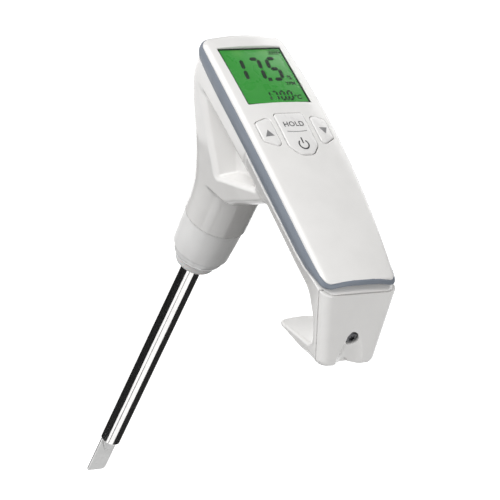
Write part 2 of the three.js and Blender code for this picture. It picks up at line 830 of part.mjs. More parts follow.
function addDisplay() {
  const display = handleGroup(DISPLAY_X);
  place('display_window', displayWindow(), CLEAR, display);
  place('lcd_panel', box(35.8, 36, 2.2, 0, 0, -6.1), LCD_GLASS, display);
  place('lcd_backlight', box(35.6, 34.4, 1.6, 0, 0, -8.4), BACKLIGHT, display);
  group.add(display);
}

function addKeys() {
  const keys = handleGroup(KEYS_X);
  KEYS.forEach(({ name, corners }) => place(name, keyCap(corners), KEY_WHITE, keys));
  place('keypad_mat', keypadMat(), SILICONE, keys);
  group.add(keys);
}

function addBoard() {
  const board = handleGroup(BOARD_X);
  place('main_pcb', mainBoard(), BOARD_GREEN, board);
  boardScrewPlaces().forEach(([x, y], i) => {
    const seat = new THREE.Group();
    seat.position.set(x, y, BOARD_LEVEL + BOARD_THICKNESS / 2 + GAP);
    place(`pcb_screw_${i + 1}`, smallScrew(1.9, 0.9, 3.4), NICKEL, seat);
    board.add(seat);
  });
  const switches = [['hold', 9, 0], ['power', 23, 0], ['up', 14.6, -14.6], ['down', 14.6, 14.6]];
  switches.forEach(([name, x, y]) => {
    const body = box(SWITCH_SIZE, SWITCH_SIZE, 2.2, x, y, -10.6);
    place(`${name}_switch`, body, CHIP_BLACK, board);
  });
  place('microcontroller', box(10, 10, 1.4, 18, 0, -14.6), CHIP_BLACK, board);
  place('buzzer', cylinder(5.5, -15.8, -13.9, -24, 0), CHIP_BLACK, board);
  place('probe_connector', box(6, 8, 2, -4, 0, -14.9), SILICONE, board);
  group.add(board);
}

function addBatteries() {
  [-1, 1].forEach((side, i) => {
    const seat = cellGroup(side * CELL_OFFSET);
    place(`battery_${i + 1}`, cell(), CELL_JACKET, seat);
    const plate = box(0.4, 8, 8, -CELL_LENGTH - 1.4, side * 0.2, 0);
    place(`board_contact_${i + 1}`, plate, NICKEL, seat);
    group.add(seat);
  });
  const middle = cellGroup(0);
  place('battery_cradle', batteryCradle(), WHITE, middle);
  group.add(middle);
}

function addProbe() {
  place('probe_sleeve', probeSleeve(), WHITE);
  place('sleeve_seal', ring(SLEEVE_FIT - 0.4, 0.58, SEAL_LEVEL), BLACK_RUBBER);
  place('sleeve_ring', sleeveRing(), WHITE);
  place('gland_lip', glandLip(), SILICONE);
  place('gland_bush', glandBush(), BLACK_RUBBER);
  place('probe_tube', probeTube(), STEEL);
  place('potting_plug', pottingPlug(), CERAMIC);
  place('sensor_plate', sensorPlate(), CERAMIC);
  place('sensor_backing', sensorBacking(), CERAMIC_BACK);
  place('sensor_cable', cable(), CABLE_JACKET);
}

addCasing();
addDisplay();
addKeys();
addBoard();
addBatteries();
addProbe();

export default group;
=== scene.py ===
import math

import bmesh
import bpy
import numpy as np
from mathutils import Matrix, Vector


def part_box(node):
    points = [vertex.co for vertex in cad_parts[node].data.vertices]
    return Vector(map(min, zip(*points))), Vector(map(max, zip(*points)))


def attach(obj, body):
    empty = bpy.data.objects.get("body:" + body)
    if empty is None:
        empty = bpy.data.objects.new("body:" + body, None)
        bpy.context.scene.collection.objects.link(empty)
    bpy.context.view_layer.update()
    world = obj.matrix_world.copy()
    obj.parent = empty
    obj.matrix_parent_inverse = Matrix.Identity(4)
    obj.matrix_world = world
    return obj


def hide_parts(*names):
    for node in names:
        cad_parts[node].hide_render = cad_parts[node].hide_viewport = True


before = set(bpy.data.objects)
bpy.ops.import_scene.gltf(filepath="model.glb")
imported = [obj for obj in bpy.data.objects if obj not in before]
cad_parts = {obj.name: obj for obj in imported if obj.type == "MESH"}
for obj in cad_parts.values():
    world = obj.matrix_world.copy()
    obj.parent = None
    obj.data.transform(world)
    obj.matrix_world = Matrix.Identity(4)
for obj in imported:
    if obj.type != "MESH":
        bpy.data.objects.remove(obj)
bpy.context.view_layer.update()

# Shapes are worked out in millimetres and written to the meshes in metres.
MM = 0.001

# ---- driving dimensions
CROWN_RADIUS = 600.0
CROWN_X, CROWN_Z = -70.2, -353.0
HEAD_X = -37.0
FOOT_STATION = 102.5
WIDEST_STATION = 15.0
WIDEST_HALF_WIDTH = 24.4
WIDTH_LOSS = 3.2 / 74**2
CROWN_DROP = 1.9
CROWN_POWER = 2.4
HEAD_BOW = 1.5
HEAD_CORNER = 5.0
FOOT_CORNER = 4.5
FLOOR_DEPTH = 18.4
SHELL_WALL = 2.2

# Edges are measured inwards from the plan outline, and depths down from the crown.
LID_EDGE = 1.2
LID_UNDERSIDE = 2.6
LID_END_SET_BACK = 0.8
BEVEL_EDGE = 2.4
BEVEL_DROP = 1.1
BAND_WIDTH = 3.6
BAND_MIDDLE = 4.6
BAND_BOTTOM = 9.1
BAND_TOP = 2.1
BAND_END_LIFT = 0.9
BAND_UPPER_SLOPE, BAND_LOWER_SLOPE = 0.3, 0.33
BAND_END_SLOPE = 0.2
BAND_TUCK = 0.4
FACET_STEEPNESS = 1.05
SKIRT_OUTER, SKIRT_INNER = 3.9, 5.7
SKIRT_TOP, SKIRT_RISE = 1.5, 0.4

DISPLAY_STATION = -10.5
DISPLAY_HALF = 17.2
KEYS_STATION = 24.8
WINDOW_DEPTH = 1.25
PANEL_DEPTH = 1.75

KEY_TOP = 0.53
KEY_PROUD = 0.12
KEY_PILLOW, KEY_PILLOW_REACH = 0.42, 1.7
KEY_FOOT = 5.4
KEY_FLANGE_LEVEL, KEY_FLANGE_HALF = 4.35, 0.45
KEY_FLANGE_REACH = 0.7

FACE_TOP = (102.6, 219.0)
FACE_BOTTOM = (115.8, 184.6)
DOOR_THICKNESS = 4.5
DOOR_TOP = 216.8
SCREW_X, SCREW_Z = 108.8, 196.4
SCREW_HEAD_RADIUS, SCREW_HEAD_HEIGHT = 2.9, 1.5
SCREW_SHANK_RADIUS = 1.4
SCREW_DOME_RADIUS = 9.0
LOBE_RADIUS, LOBE_REACH, LOBE_DEPTH = 1.35, 0.35, 1.0
SCOOP_TOP_Z = 201.0
SCOOP_SLOPE, SCOOP_CURVE = 0.26, 0.076
SCOOP_STEEPNESS = 1.3
CELL_FOOT = (95.4, 211.9)
CELL_TILT = math.radians(17.5)
CELL_MOUTH = (13, 11.3, 5.5)
NECK_BOTTOM = 167.0
NECK_BORE, NECK_BORE_TOP = 11, 190
CABLE_WAY, CABLE_WAY_TOP = 4.5, 232

TRAY_SET_BACK = 1.1
TRAY_WALL = 2.4
TRAY_END = 95.5
FLOOR_WALL = 1.9
NOSE_WALL = 3.2
NOSE_BOW = 1.2
WEB_TOP_DEPTH = 9
LEG_FOOT_Z, LEG_FOOT_HALF = 186, 15.2
LEG_SPLAY = 0.17
HOOK_TIP_X, HOOK_TIP_BOW = 77.0, 0.012
HOOK_TIP_RETREAT = 60  # how far back the tip plane moves above the hook
HOOK_START_X, HOOK_HALF = 84, 14.2
HOOK_TAPER = 0.1
SOLE = ((113.8, 184.0), (0.1816, -0.9834))
LEG_BACK = ((103.3, 193.2), (-0.866, -0.499))
HOOK_TOP = ((101.5, 187.6), (-0.352, 0.936))

GAP = 0.3
INK_HALF = 0.05


# ---- fields
# A field is a function of x, y and z arrays that is negative inside its solid.
def meet(a, b, radius):
    """The overlap of two solids, with the edge between them rounded."""
    corner = np.hypot(np.maximum(a + radius, 0), np.maximum(b + radius, 0))
    return np.minimum(np.maximum(a, b), -radius) + corner


def fuse(a, b, radius):
    """Two solids joined, with a fillet between them."""
    return -meet(-a, -b, radius)


def carve(solid, tool, radius):
    """A solid with a tool taken out of it and the rim rounded."""
    return meet(solid, -tool, radius)


def smooth_table(levels, values, blur):
    """A smooth curve that runs near the given points."""
    step = 0.25
    fine = np.arange(levels[0] - 4 * blur, levels[-1] + 4 * blur, step)
    reach = int(3 * blur / step)
    offsets = np.arange(-reach, reach + 1) * step
    kernel = np.exp(-0.5 * (offsets / blur) ** 2)
    padded = np.pad(np.interp(fine, levels, values), reach, "edge")
    smoothed = np.convolve(padded, kernel / kernel.sum(), "valid")
    return lambda height: np.interp(height, fine, smoothed)


def smoothstep(value, start, end):
    share = np.clip((value - start) / (end - start), 0, 1)
    return share * share * (3 - 2 * share)


def on_crown(x, z):
    """Station along the crown, and depth under it."""
    radius = np.hypot(x - CROWN_X, z - CROWN_Z)
    return CROWN_X + CROWN_RADIUS * (x - CROWN_X) / radius, CROWN_RADIUS - radius


def half_width(station):
    return WIDEST_HALF_WIDTH - WIDTH_LOSS * (station - WIDEST_STATION) ** 2


band_bottom = smooth_table(
    [-37, -30, -22, -8, 60, 80, 89, 96, 102.5], [6.0, 7.5, 8.5, 9.0, 9.0, 8.9, 7.9, 5.2, 3.0], 2.0
)


def crown_section(x, y, z):
    """Station, depth under the crowned surface, and distance from the plan outline."""
    station, depth = on_crown(x, z)
    width = half_width(station)
    across = np.abs(y) / width
    depth = depth - CROWN_DROP * across**CROWN_POWER
    edge = meet(np.abs(y) - width, HEAD_X + HEAD_BOW * across**2 - x, HEAD_CORNER)
    return station, depth, meet(edge, station - FOOT_STATION, FOOT_CORNER)


def near_foot(station):
    """0 along the handle, rising to 1 just before its foot end."""
    return smoothstep(station, 95, 100)


def foot_middle(station, y):
    """1 at the middle of the foot end, falling to 0 at its corners and along the handle."""
    return near_foot(station) * (1 - smoothstep(np.abs(y), 8, 17.5))


def station_frame(station):
    """Origin, tangent and normal of the crown at a station, in X and Z."""
    lean = math.asin((station - CROWN_X) / CROWN_RADIUS)
    tangent = np.array([math.cos(lean), -math.sin(lean)])
    normal = np.array([math.sin(lean), math.cos(lean)])
    return np.array([CROWN_X, CROWN_Z]) + CROWN_RADIUS * normal, tangent, normal


def station_local(station, x, z):
    origin, tangent, normal = station_frame(station)
    along = (x - origin[0]) * tangent[0] + (z - origin[1]) * tangent[1]
    lift = (x - origin[0]) * normal[0] + (z - origin[1]) * normal[1]
    return along, lift


def outline_distance(u, v, corners, radius):
    """Distance outside a convex outline with rounded corners, which run anticlockwise."""
    points = np.array(corners, float)
    runs = np.roll(points, -1, 0) - points
    runs /= np.linalg.norm(runs, axis=1)[:, None]
    normals = np.stack([runs[:, 1], -runs[:, 0]], 1)
    offsets = (normals * points).sum(1) - radius
    inner = []
    for i in range(len(points)):
        pair = [i - 1, i]
        inner.append(np.linalg.solve(normals[pair], offsets[pair]))
    inside = np.max([n[0] * u + n[1] * v - d for n, d in zip(normals, offsets)], 0)
    outside = None
    for start, end in zip(inner, inner[1:] + inner[:1]):
        run = end - start
        share = ((u - start[0]) * run[0] + (v - start[1]) * run[1]) / (run @ run)
        share = np.clip(share, 0, 1)
        gap = np.hypot(u - start[0] - share * run[0], v - start[1] - share * run[1])
        outside = gap if outside is None else np.minimum(outside, gap)
    return np.where(inside > 0, outside, inside) - radius


# ---- keys
# Corners are [along the handle, across it] from the middle of the key plane.
CENTRE_KEY_TOP = [[-12, -8.1], [3, -8.1], [3, 8.1], [-12, 8.1]]
CENTRE_KEY = [[-12, -8.1], [7, -8.1], [12, -3.6], [12, 3.6], [7, 8.1], [-12, 8.1]]
SIDE_KEY = [[-10.6, 10.5], [7.4, 10.5], [2.8, 19.2], [-8.2, 19.2]]


def centre_key_plan(u, v):
    top = outline_distance(u, v, CENTRE_KEY_TOP, 1.8)
    return np.minimum(top, outline_distance(u, v, CENTRE_KEY, 4.2))


def side_key_plan(u, v):
    return outline_distance(u, v, SIDE_KEY, 2.2)


def key_plans(u, v):
    return np.minimum(centre_key_plan(u, v), side_key_plan(u, np.abs(v)))


def key_field(plan, side=0):
    """A key cap: side is 0 for the centre, -1 or 1 for the outer keys."""

    def field(x, y, z):
        _, depth, _ = crown_section(x, y, z)
        along, lift = station_local(KEYS_STATION, x, z)
        reach = plan(along, y * side if side else y)
        pillow = KEY_PROUD + KEY_PILLOW * (1 - np.exp(np.minimum(reach, 0) / KEY_PILLOW_REACH))
        cap = meet(reach + GAP, -depth - pillow, 0.45)
        cap = np.maximum(cap, -KEY_FOOT - lift)
        flange = np.maximum(reach - KEY_FLANGE_REACH, np.abs(lift + KEY_FLANGE_LEVEL) - KEY_FLANGE_HALF)
        return np.minimum(cap, flange)

    return field


# ---- casing
def cover_field(x, y, z):
    station, depth, edge = crown_section(x, y, z)
    middle = foot_middle(station, y)
    rise = depth + BEVEL_DROP * middle
    bevel_length = math.hypot(BEVEL_DROP, BEVEL_EDGE - LID_EDGE)
    bevel = ((edge + BEVEL_EDGE) * BEVEL_DROP - rise * (BEVEL_EDGE - LID_EDGE)) / bevel_length
    lid = meet(-depth, bevel, 0.7)
    lid = meet(lid, edge + LID_EDGE + LID_END_SET_BACK * near_foot(station), 0.25)
    lid = np.maximum(lid, depth - LID_UNDERSIDE)
    skirt = np.maximum(edge + SKIRT_OUTER, depth - band_bottom(station) + SKIRT_RISE)
    skirt = np.maximum(skirt, SKIRT_TOP - depth)
    shell = np.minimum(lid, skirt)
    hollow = np.maximum(edge + SKIRT_INNER, SHELL_WALL - depth)
    shell = carve(shell, hollow, 0.4)
    along, _ = station_local(DISPLAY_STATION, x, z)
    opening = meet(np.abs(along) - DISPLAY_HALF, np.abs(y) - DISPLAY_HALF, 0.5)
    shell = carve(shell, opening, 0.35)
    along, _ = station_local(KEYS_STATION, x, z)
    return carve(shell, key_plans(along, y), 0.25)


def band_field(x, y, z):
    station, depth, edge = crown_section(x, y, z)
    foot = near_foot(station)
    level = (depth + BAND_END_LIFT * foot_middle(station, y)) * BAND_BOTTOM / band_bottom(station)
    upper = edge + (BAND_MIDDLE - level) * (BAND_UPPER_SLOPE + BAND_END_SLOPE * foot)
    lower = edge + (level - BAND_MIDDLE) * BAND_LOWER_SLOPE
    ring = meet(upper / FACET_STEEPNESS, lower / FACET_STEEPNESS, 0.8)
    ring = meet(ring, level - BAND_BOTTOM, 0.5)
    ring = np.maximum(ring, -edge - BAND_WIDTH)
    ring = meet(ring, BAND_TOP - level, 0.2)
    under_lid = edge + LID_EDGE + LID_END_SET_BACK * foot + BAND_TUCK
    under_lid = np.maximum(under_lid, depth - LID_UNDERSIDE - GAP / 2)
    return carve(ring, under_lid, 0.15)


def end_face(x, z):
    run = np.subtract(FACE_BOTTOM, FACE_TOP)
    normal = np.array([-run[1], run[0]]) / np.linalg.norm(run)
    return (x - FACE_BOTTOM[0]) * normal[0] + (z - FACE_BOTTOM[1]) * normal[1]


nose_front = smooth_table(
    [167, 176, 184.5, 192, 196, 204, 218, 226, 235, 245],
    [-15.2, -15.6, -18.0, -20.9, -22.5, -26.0, -33.8, -36.6, -37.0, -37.0],
    2.0,
)
nose_radius = smooth_table(
    [167, 186, 192, 199, 206, 214, 222, 232, 245], [15.2, 15.2, 14.6, 13.7, 12.5, 11, 9.5, 8, 7], 2.0
)
web_half = smooth_table(
    [167, 182, 190, 199, 206, 214, 222, 229], [15.2, 15.3, 16.0, 17.2, 18.4, 19.6, 20.8, 22], 2.5
)
web_back = smooth_table(
    [167, 189.5, 192.5, 194.5, 199, 206, 214, 230], [15.2, 15.2, 18.5, 22.0, 26, 33.5, 41.7, 58], 0.8
)
web_back_radius = smooth_table([167, 189.5, 191, 193, 230], [15.2, 15.2, 9, 4, 3.0], 0.8)


def tray_half(station, depth):
    """Half width of the handle's lower shell, which narrows downwards."""
    lean = np.interp(station, [HEAD_X, 10, 95], [0.42, 0.5, 0.3])
    reference = band_bottom(station) + CROWN_DROP
    return half_width(station) - TRAY_SET_BACK - lean * (depth - reference)


def leg_half(x, z):
    leg = LEG_FOOT_HALF + (z - LEG_FOOT_Z) * LEG_SPLAY
    hook = HOOK_HALF - (x - HOOK_START_X) * HOOK_TAPER
    return np.maximum(leg, hook)


def side_plane(x, z, plane):
    """Distance in front of a plane square to the side view, given as a point and a normal."""
    point, normal = plane
    return normal[0] * (x - point[0]) + normal[1] * (z - point[1])


def plane_through(a, b, c, inside):
    """A plane's field from three points on it and one inside."""
    a, b, c, inside = (np.array(point, float) for point in (a, b, c, inside))
    normal = np.cross(b - a, c - a)
    normal /= np.linalg.norm(normal)
    if (inside - a) @ normal > 0:
        normal = -normal
    return lambda x, y, z: (x - a[0]) * normal[0] + (y - a[1]) * normal[1] + (z - a[2]) * normal[2]


POCKET_FLOOR = 9.0
POCKET_RIM = 25.0
POCKET_INNER = [(-4, 224), (12, 206), (31, 219.2)]
POCKET_OUTER = [(-28, 227.4), (2, 192), (35, 218.8)]


def pocket_planes():
    inside = (13, 20, 216)
    planes = []
    for i in range(3):
        j = (i + 1) % 3
        a = (POCKET_INNER[i][0], POCKET_FLOOR, POCKET_INNER[i][1])
        b = (POCKET_INNER[j][0], POCKET_FLOOR, POCKET_INNER[j][1])
        c = (POCKET_OUTER[i][0], POCKET_RIM, POCKET_OUTER[i][1])
        planes.append(plane_through(a, b, c, inside))
    return planes


POCKET_PLANES = pocket_planes()


def pocket(x, y, z):
    side = np.abs(y)
    front, under, top = (plane(x, side, z) for plane in POCKET_PLANES)
    space = meet(meet(front, under, 0.8), top, 2.5)
    return meet(space, POCKET_FLOOR - side, 2.0)


def casing_field(x, y, z):
    """The whole lower casing before it is hollowed and split."""
    station, depth = on_crown(x, z)
    leg_share = np.maximum(smoothstep(x, 84, 98), smoothstep(-z, -205, -195))
    half = tray_half(station, depth)
    half = half + leg_share * np.maximum(leg_half(x, z) - half, 0)
    hook_share = smoothstep(-z, -198, -190)
    tip = HOOK_TIP_X + HOOK_TIP_BOW * y * y - x - HOOK_TIP_RETREAT * (1 - hook_share)
    sole = side_plane(x, z, SOLE)
    plan = meet(np.abs(y) - half, tip, 4.5)
    plan = meet(plan, end_face(x, z), 5.0)
    plan = meet(plan, sole, 0.9 + 2.4 * smoothstep(x, 97, 106))
    profile = fuse(depth - FLOOR_DEPTH, side_plane(x, z, LEG_BACK), 3.0)
    profile = fuse(profile, side_plane(x, z, HOOK_TOP), 4.0)
    body = meet(profile, plan, np.interp(z, [180, 188, 205], [0.9, 1.5, 4.0]))
    body = meet(body, sole, 0.9)
    web = meet(np.abs(y) - web_half(z), x - web_back(z), web_back_radius(z))
    web = np.maximum(web, WEB_TOP_DEPTH - depth)
    body = fuse(body, web, 2.5)
    across = y / half_width(station)
    body = meet(body, nose_front(z) + NOSE_BOW * across**2 + 0.1 - x, nose_radius(z))
    body = meet(body, NECK_BOTTOM - z, 0.5)
    return carve(body, pocket(x, y, z), 2.0)


def door_space(x, z, shift, top):
    return np.maximum(-DOOR_THICKNESS + shift - end_face(x, z), z - top)


def cell_local(x, z):
    dx, dz = x - CELL_FOOT[0], z - CELL_FOOT[1]
    along = dx * math.cos(CELL_TILT) - dz * math.sin(CELL_TILT)
    return along, dx * math.sin(CELL_TILT) + dz * math.cos(CELL_TILT)


def housing_field(x, y, z):
    station, depth, edge = crown_section(x, y, z)
    _, plain_depth = on_crown(x, z)
    body = meet(casing_field(x, y, z), band_bottom(station) + 0.12 - depth, 0.3)
    hollow = np.maximum(np.abs(y) - tray_half(station, plain_depth) + TRAY_WALL, station - TRAY_END)
    hollow = np.maximum(hollow, edge + SKIRT_OUTER - 0.4)
    hollow = np.maximum(hollow, plain_depth - FLOOR_DEPTH + FLOOR_WALL)
    hollow = np.maximum(hollow, nose_front(z) + NOSE_WALL - x)
    body = carve(body, hollow, 0.4)
    probe_bore = np.maximum(np.hypot(x, y) - NECK_BORE, z - NECK_BORE_TOP)
    cable_way = np.maximum(np.hypot(x, y) - CABLE_WAY, z - CABLE_WAY_TOP)
    along, lift = cell_local(x, z)
    mouth = np.maximum(np.abs(along + 3) - CELL_MOUTH[0], np.abs(y) - CELL_MOUTH[1])
    mouth = np.maximum(mouth, np.abs(lift) - CELL_MOUTH[2])
    insert_hole = np.maximum(np.hypot(y, z - SCREW_Z) - 2.4, 102.9 - x)
    openings = np.minimum(np.minimum(probe_bore, cable_way), np.minimum(mouth, insert_hole))
    openings = np.minimum(openings, door_space(x, z, 0, DOOR_TOP))
    return carve(body, openings, 0.25)


def scoop(x, y, z):
    """A valley that dives into the end face below the screw."""
    run = np.subtract(FACE_BOTTOM, FACE_TOP)
    top_x = FACE_BOTTOM[0] + run[0] / run[1] * (SCOOP_TOP_Z - FACE_BOTTOM[1])
    run = run / np.linalg.norm(run)
    along = (x - top_x) * run[0] + (z - SCOOP_TOP_Z) * run[1]
    return (SCOOP_CURVE * y * y - end_face(x, z) - SCOOP_SLOPE * along) / SCOOP_STEEPNESS


def door_field(x, y, z):
    plate = meet(casing_field(x, y, z), door_space(x, z, GAP, DOOR_TOP - GAP), 0.3)
    plate = carve(plate, scoop(x, y, z), 0.4)
    distance = np.hypot(y, z - SCREW_Z)
    seat = np.maximum(distance - 3.2, SCREW_X - GAP - x)
    holes = np.minimum(distance - 1.7, seat)
    _, lift = cell_local(x, z)
    groove = np.maximum(np.abs(y) - 13.5, np.abs(lift) - 7.3)
    groove = np.maximum(groove, end_face(x, z) + DOOR_THICKNESS - GAP - 1.8)
    return carve(plate, np.minimum(holes, groove), 0.2)


# ---- meshes
CORNERS = [(i, j, k) for i in (0, 1) for j in (0, 1) for k in (0, 1)]


def grid_values(field, axes):
    """The field at every grid point, worked out in slabs along X."""
    values = np.empty([len(axis) for axis in axes], np.float32)
    y, z = axes[1][None, :, None], axes[2][None, None, :]
    slab = 16
    for start in range(0, len(axes[0]), slab):
        x = axes[0][start : start + slab, None, None]
        values[start : start + slab] = field(x, y, z)
    return values


def crossing_points(values, cells, axes, cell):
    """For each cell, the mean of the places where its edges cross the surface."""
    total = np.zeros((len(cells), 3))
    count = np.zeros(len(cells))
    for corner in CORNERS:
        for axis in range(3):
            if corner[axis]:
                continue
            a = cells + corner
            b = a.copy()
            b[:, axis] += 1
            va, vb = values[tuple(a.T)], values[tuple(b.T)]
            crossed = (va < 0) != (vb < 0)
            share = np.where(crossed, va / np.where(crossed, va - vb, 1), 0)
            point = np.tile(np.array(corner, float), (len(cells), 1))
            point[:, axis] = share
            total += point * crossed[:, None]
            count += crossed
    low = np.array([axis[0] for axis in axes])
    return low + cell * (cells + total / count[:, None])


def field_gradient(field, points, step):
    columns = []
    for axis in range(3):
        ahead, behind = points.copy(), points.copy()
        ahead[:, axis] += step
        behind[:, axis] -= step
        columns.append((field(*ahead.T) - field(*behind.T)) / (2 * step))
    return np.stack(columns, 1)


def surface_net(field, low, high, cell):
    """Points, quads and normals of the surface where the field is zero."""
    axes = [np.arange(a, b + cell, cell) for a, b in zip(low, high)]
    values = grid_values(field, axes)
    inside = values < 0
    held = np.zeros([n - 1 for n in values.shape], np.uint8)
    a, b, c = held.shape
    for i, j, k in CORNERS:
        held += inside[i : i + a, j : j + b, k : k + c]
    cells = np.argwhere((held > 0) & (held < 8))
    points = crossing_points(values, cells, axes, cell)
    number = np.full(held.shape, -1, np.int64)
    number[tuple(cells.T)] = np.arange(len(cells))
    quads = []
    for axis in range(3):
        u, v = (axis + 1) % 3, (axis + 2) % 3
        first = np.take(inside, range(values.shape[axis] - 1), axis)
        second = np.take(inside, range(1, values.shape[axis]), axis)
        edges = np.argwhere(first != second)
        edges = edges[(edges[:, u] > 0) & (edges[:, v] > 0)]
        edges = edges[(edges[:, u] < values.shape[u] - 1) & (edges[:, v] < values.shape[v] - 1)]
        step_u, step_v = np.eye(3, dtype=int)[u], np.eye(3, dtype=int)[v]
        around = [edges - step_u - step_v, edges - step_v, edges, edges - step_u]
        ring = np.stack([number[tuple(place.T)] for place in around], 1)
        outward = inside[tuple(edges.T)]
        quads.append(np.where(outward[:, None], ring, ring[:, ::-1]))
    for _ in range(4):
        gradient = field_gradient(field, points, 0.04)
        steepness = np.maximum((gradient**2).sum(1), 0.05)
        move = -gradient * (field(*points.T) / steepness)[:, None]
        length = np.linalg.norm(move, axis=1)
        points += move * np.minimum(1, 0.6 * cell / np.maximum(length, 1e-9))[:, None]
    gradient = field_gradient(field, points, 0.08)
    normals = gradient / np.maximum(np.linalg.norm(gradient, axis=1), 1e-9)[:, None]
    return points, np.concatenate(quads), normals


def linked(name, data):
    obj = bpy.data.objects.new(name, data)
    bpy.context.scene.collection.objects.link(obj)
    return obj


def mesh_object(name, points, faces, normals=None):
    """An object from points in millimetres."""
    mesh = bpy.data.meshes.new(name)
    mesh.from_pydata((np.asarray(points) * MM).tolist(), [], [list(map(int, f)) for f in faces])
    mesh.validate()
    mesh.shade_smooth()
    if normals is not None:
        mesh.normals_split_custom_set_from_vertices(normals.tolist())
    return linked(name, mesh)


def sculpted(name, field, low, high, cell):
    """A piece made from a field, inside the box given."""
    return mesh_object(name, *surface_net(field, low, high, cell))


def rounded_profile(corners, steps=8):
    """A closed [radius, height] outline from (radius, height, rounding) corners."""
    outline = []
    for i, (radius, height, rounding) in enumerate(corners):
        point = np.array([radius, height], float)
        before = np.array(corners[i - 1][:2], float) - point
        after = np.array(corners[(i + 1) % len(corners)][:2], float) - point
        if rounding <= 0:
            outline.append(point)
            continue
        enter = point + before / np.linalg.norm(before) * rounding
        leave = point + after / np.linalg.norm(after) * rounding
        for share in np.linspace(0, 1, steps):
            outline.append((1 - share) ** 2 * enter + 2 * share * (1 - share) * point + share**2 * leave)
    return np.array(outline)


def turned(name, corners, segments=144):
    """A turned piece about the probe's axis, from anticlockwise (radius, height, rounding) corners."""
    outline = rounded_profile(corners)
    count = len(outline)
    points = []
    for i in range(segments):
        angle = 2 * math.pi * i / segments
        for radius, height in outline:
            points.append((radius * math.cos(angle), radius * math.sin(angle), height))
    faces = []
    for i in range(segments):
        here, ahead = i * count, (i + 1) % segments * count
        for j in range(count):
            k = (j + 1) % count
            faces.append((here + j, ahead + j, ahead + k, here + k))
    obj = mesh_object(name, points, faces)
    return hard_edged(obj)


def face_outwards(obj):
    edit = bmesh.new()
    edit.from_mesh(obj.data)
    bmesh.ops.remove_doubles(edit, verts=edit.verts, dist=1e-7)
    bmesh.ops.recalc_face_normals(edit, faces=edit.faces)
    edit.to_mesh(obj.data)
    edit.free()


def smooth_by_angle(obj, degrees=32):
    """Edges sharper than the angle keep a hard shade."""
    edit = bmesh.new()
    edit.from_mesh(obj.data)
    limit = math.radians(degrees)
    for edge in edit.edges:
        edge.smooth = edge.calc_face_angle(0) < limit
    for face in edit.faces:
        face.smooth = True
    edit.to_mesh(obj.data)
    edit.free()


def hard_edged(obj):
    face_outwards(obj)
    smooth_by_angle(obj)
    return obj


def bevelled(obj, width, segments=3):
    """Applies a bevel of the width in millimetres to the sharp edges."""
    modifier = obj.modifiers.new("bevel", "BEVEL")
    modifier.width = width * MM
    modifier.segments = segments
    modifier.limit_method = "ANGLE"
    modifier.angle_limit = math.radians(40)
    modifier.harden_normals = False
    depsgraph = bpy.context.evaluated_depsgraph_get()
    made = bpy.data.meshes.new_from_object(obj.evaluated_get(depsgraph))
    obj.modifiers.clear()
    obj.data = made
    smooth_by_angle(obj)
    return obj


def prism(name, outline, low, high, place):
    """A slab from a flat outline between two levels. place turns (u, v, level) into a point."""
    count = len(outline)
    points = [place(u, v, level) for level in (low, high) for u, v in outline]
    faces = [tuple(range(count)), tuple(range(count, 2 * count))]
    for i in range(count):
        j = (i + 1) % count
        faces.append((i, j, count + j, count + i))
    obj = mesh_object(name, points, faces)
    return hard_edged(obj)


def joined(name, parts):
    """One piece from several separate solids."""
    edit = bmesh.new()
    for part in parts:
        edit.from_mesh(part.data)
        bpy.data.objects.remove(part)
    mesh = bpy.data.meshes.new(name)
    edit.to_mesh(mesh)
    edit.free()
    obj = linked(name, mesh)
    smooth_by_angle(obj)
    return obj


# ---- materials
def node(tree, kind, **settings):
    made = tree.nodes.new(kind)
    for key, value in settings.items():
        if key in made.inputs:
            made.inputs[key].default_value = value
        else:
            setattr(made, key, value)
    return made


def noise(tree, coordinates, scale, detail=3.0, stretch=(1, 1, 1)):
    """Procedural noise with its features about 1 / scale metres across."""
    mapping = node(tree, "ShaderNodeMapping")
    mapping.inputs["Scale"].default_value = stretch
    tree.links.new(coordinates, mapping.inputs["Vector"])
    texture = node(tree, "ShaderNodeTexNoise", Scale=scale, Detail=detail)
    tree.links.new(mapping.outputs["Vector"], texture.inputs["Vector"])
    return texture.outputs["Fac"]


def ranged(tree, value, low, high, start=0.35, end=0.65):
    """Maps the middle of a noise to a range."""
    scaled = node(tree, "ShaderNodeMapRange")
    scaled.inputs["From Min"].default_value = start
    scaled.inputs["From Max"].default_value = end
    scaled.inputs["To Min"].default_value = low
    scaled.inputs["To Max"].default_value = high
    tree.links.new(value, scaled.inputs["Value"])
    return scaled.outputs["Result"]


def finish(
    name,
    colours,
    roughness,
    mottle=90,
    grain=2600,
    bump=0.02,
    stretch=(1, 1, 1),
    **shader_settings,
):
    """A procedural surface: two close colours mottled, worn gloss and a fine moulded grain."""
    material = bpy.data.materials.new(name)
    material.use_nodes = True
    tree = material.node_tree
    shader = tree.nodes["Principled BSDF"]
    for key, value in shader_settings.items():
        shader.inputs[key].default_value = value
    coordinates = node(tree, "ShaderNodeTexCoord").outputs["Object"]
    blend = node(tree, "ShaderNodeMix", data_type="RGBA")
    blend.inputs["A"].default_value = (*colours[0], 1)
    blend.inputs["B"].default_value = (*colours[1], 1)
    tree.links.new(ranged(tree, noise(tree, coordinates, mottle), 0, 1), blend.inputs["Factor"])
    tree.links.new(blend.outputs["Result"], shader.inputs["Base Color"])
    smudge = noise(tree, coordinates, mottle * 1.7, 5.0, stretch)
    tree.links.new(ranged(tree, smudge, *roughness), shader.inputs["Roughness"])
    relief = node(tree, "ShaderNodeBump", Strength=bump, Distance=0.0004)
    tree.links.new(noise(tree, coordinates, grain, 2.0, stretch), relief.inputs["Height"])
    tree.links.new(relief.outputs["Normal"], shader.inputs["Normal"])
    return material


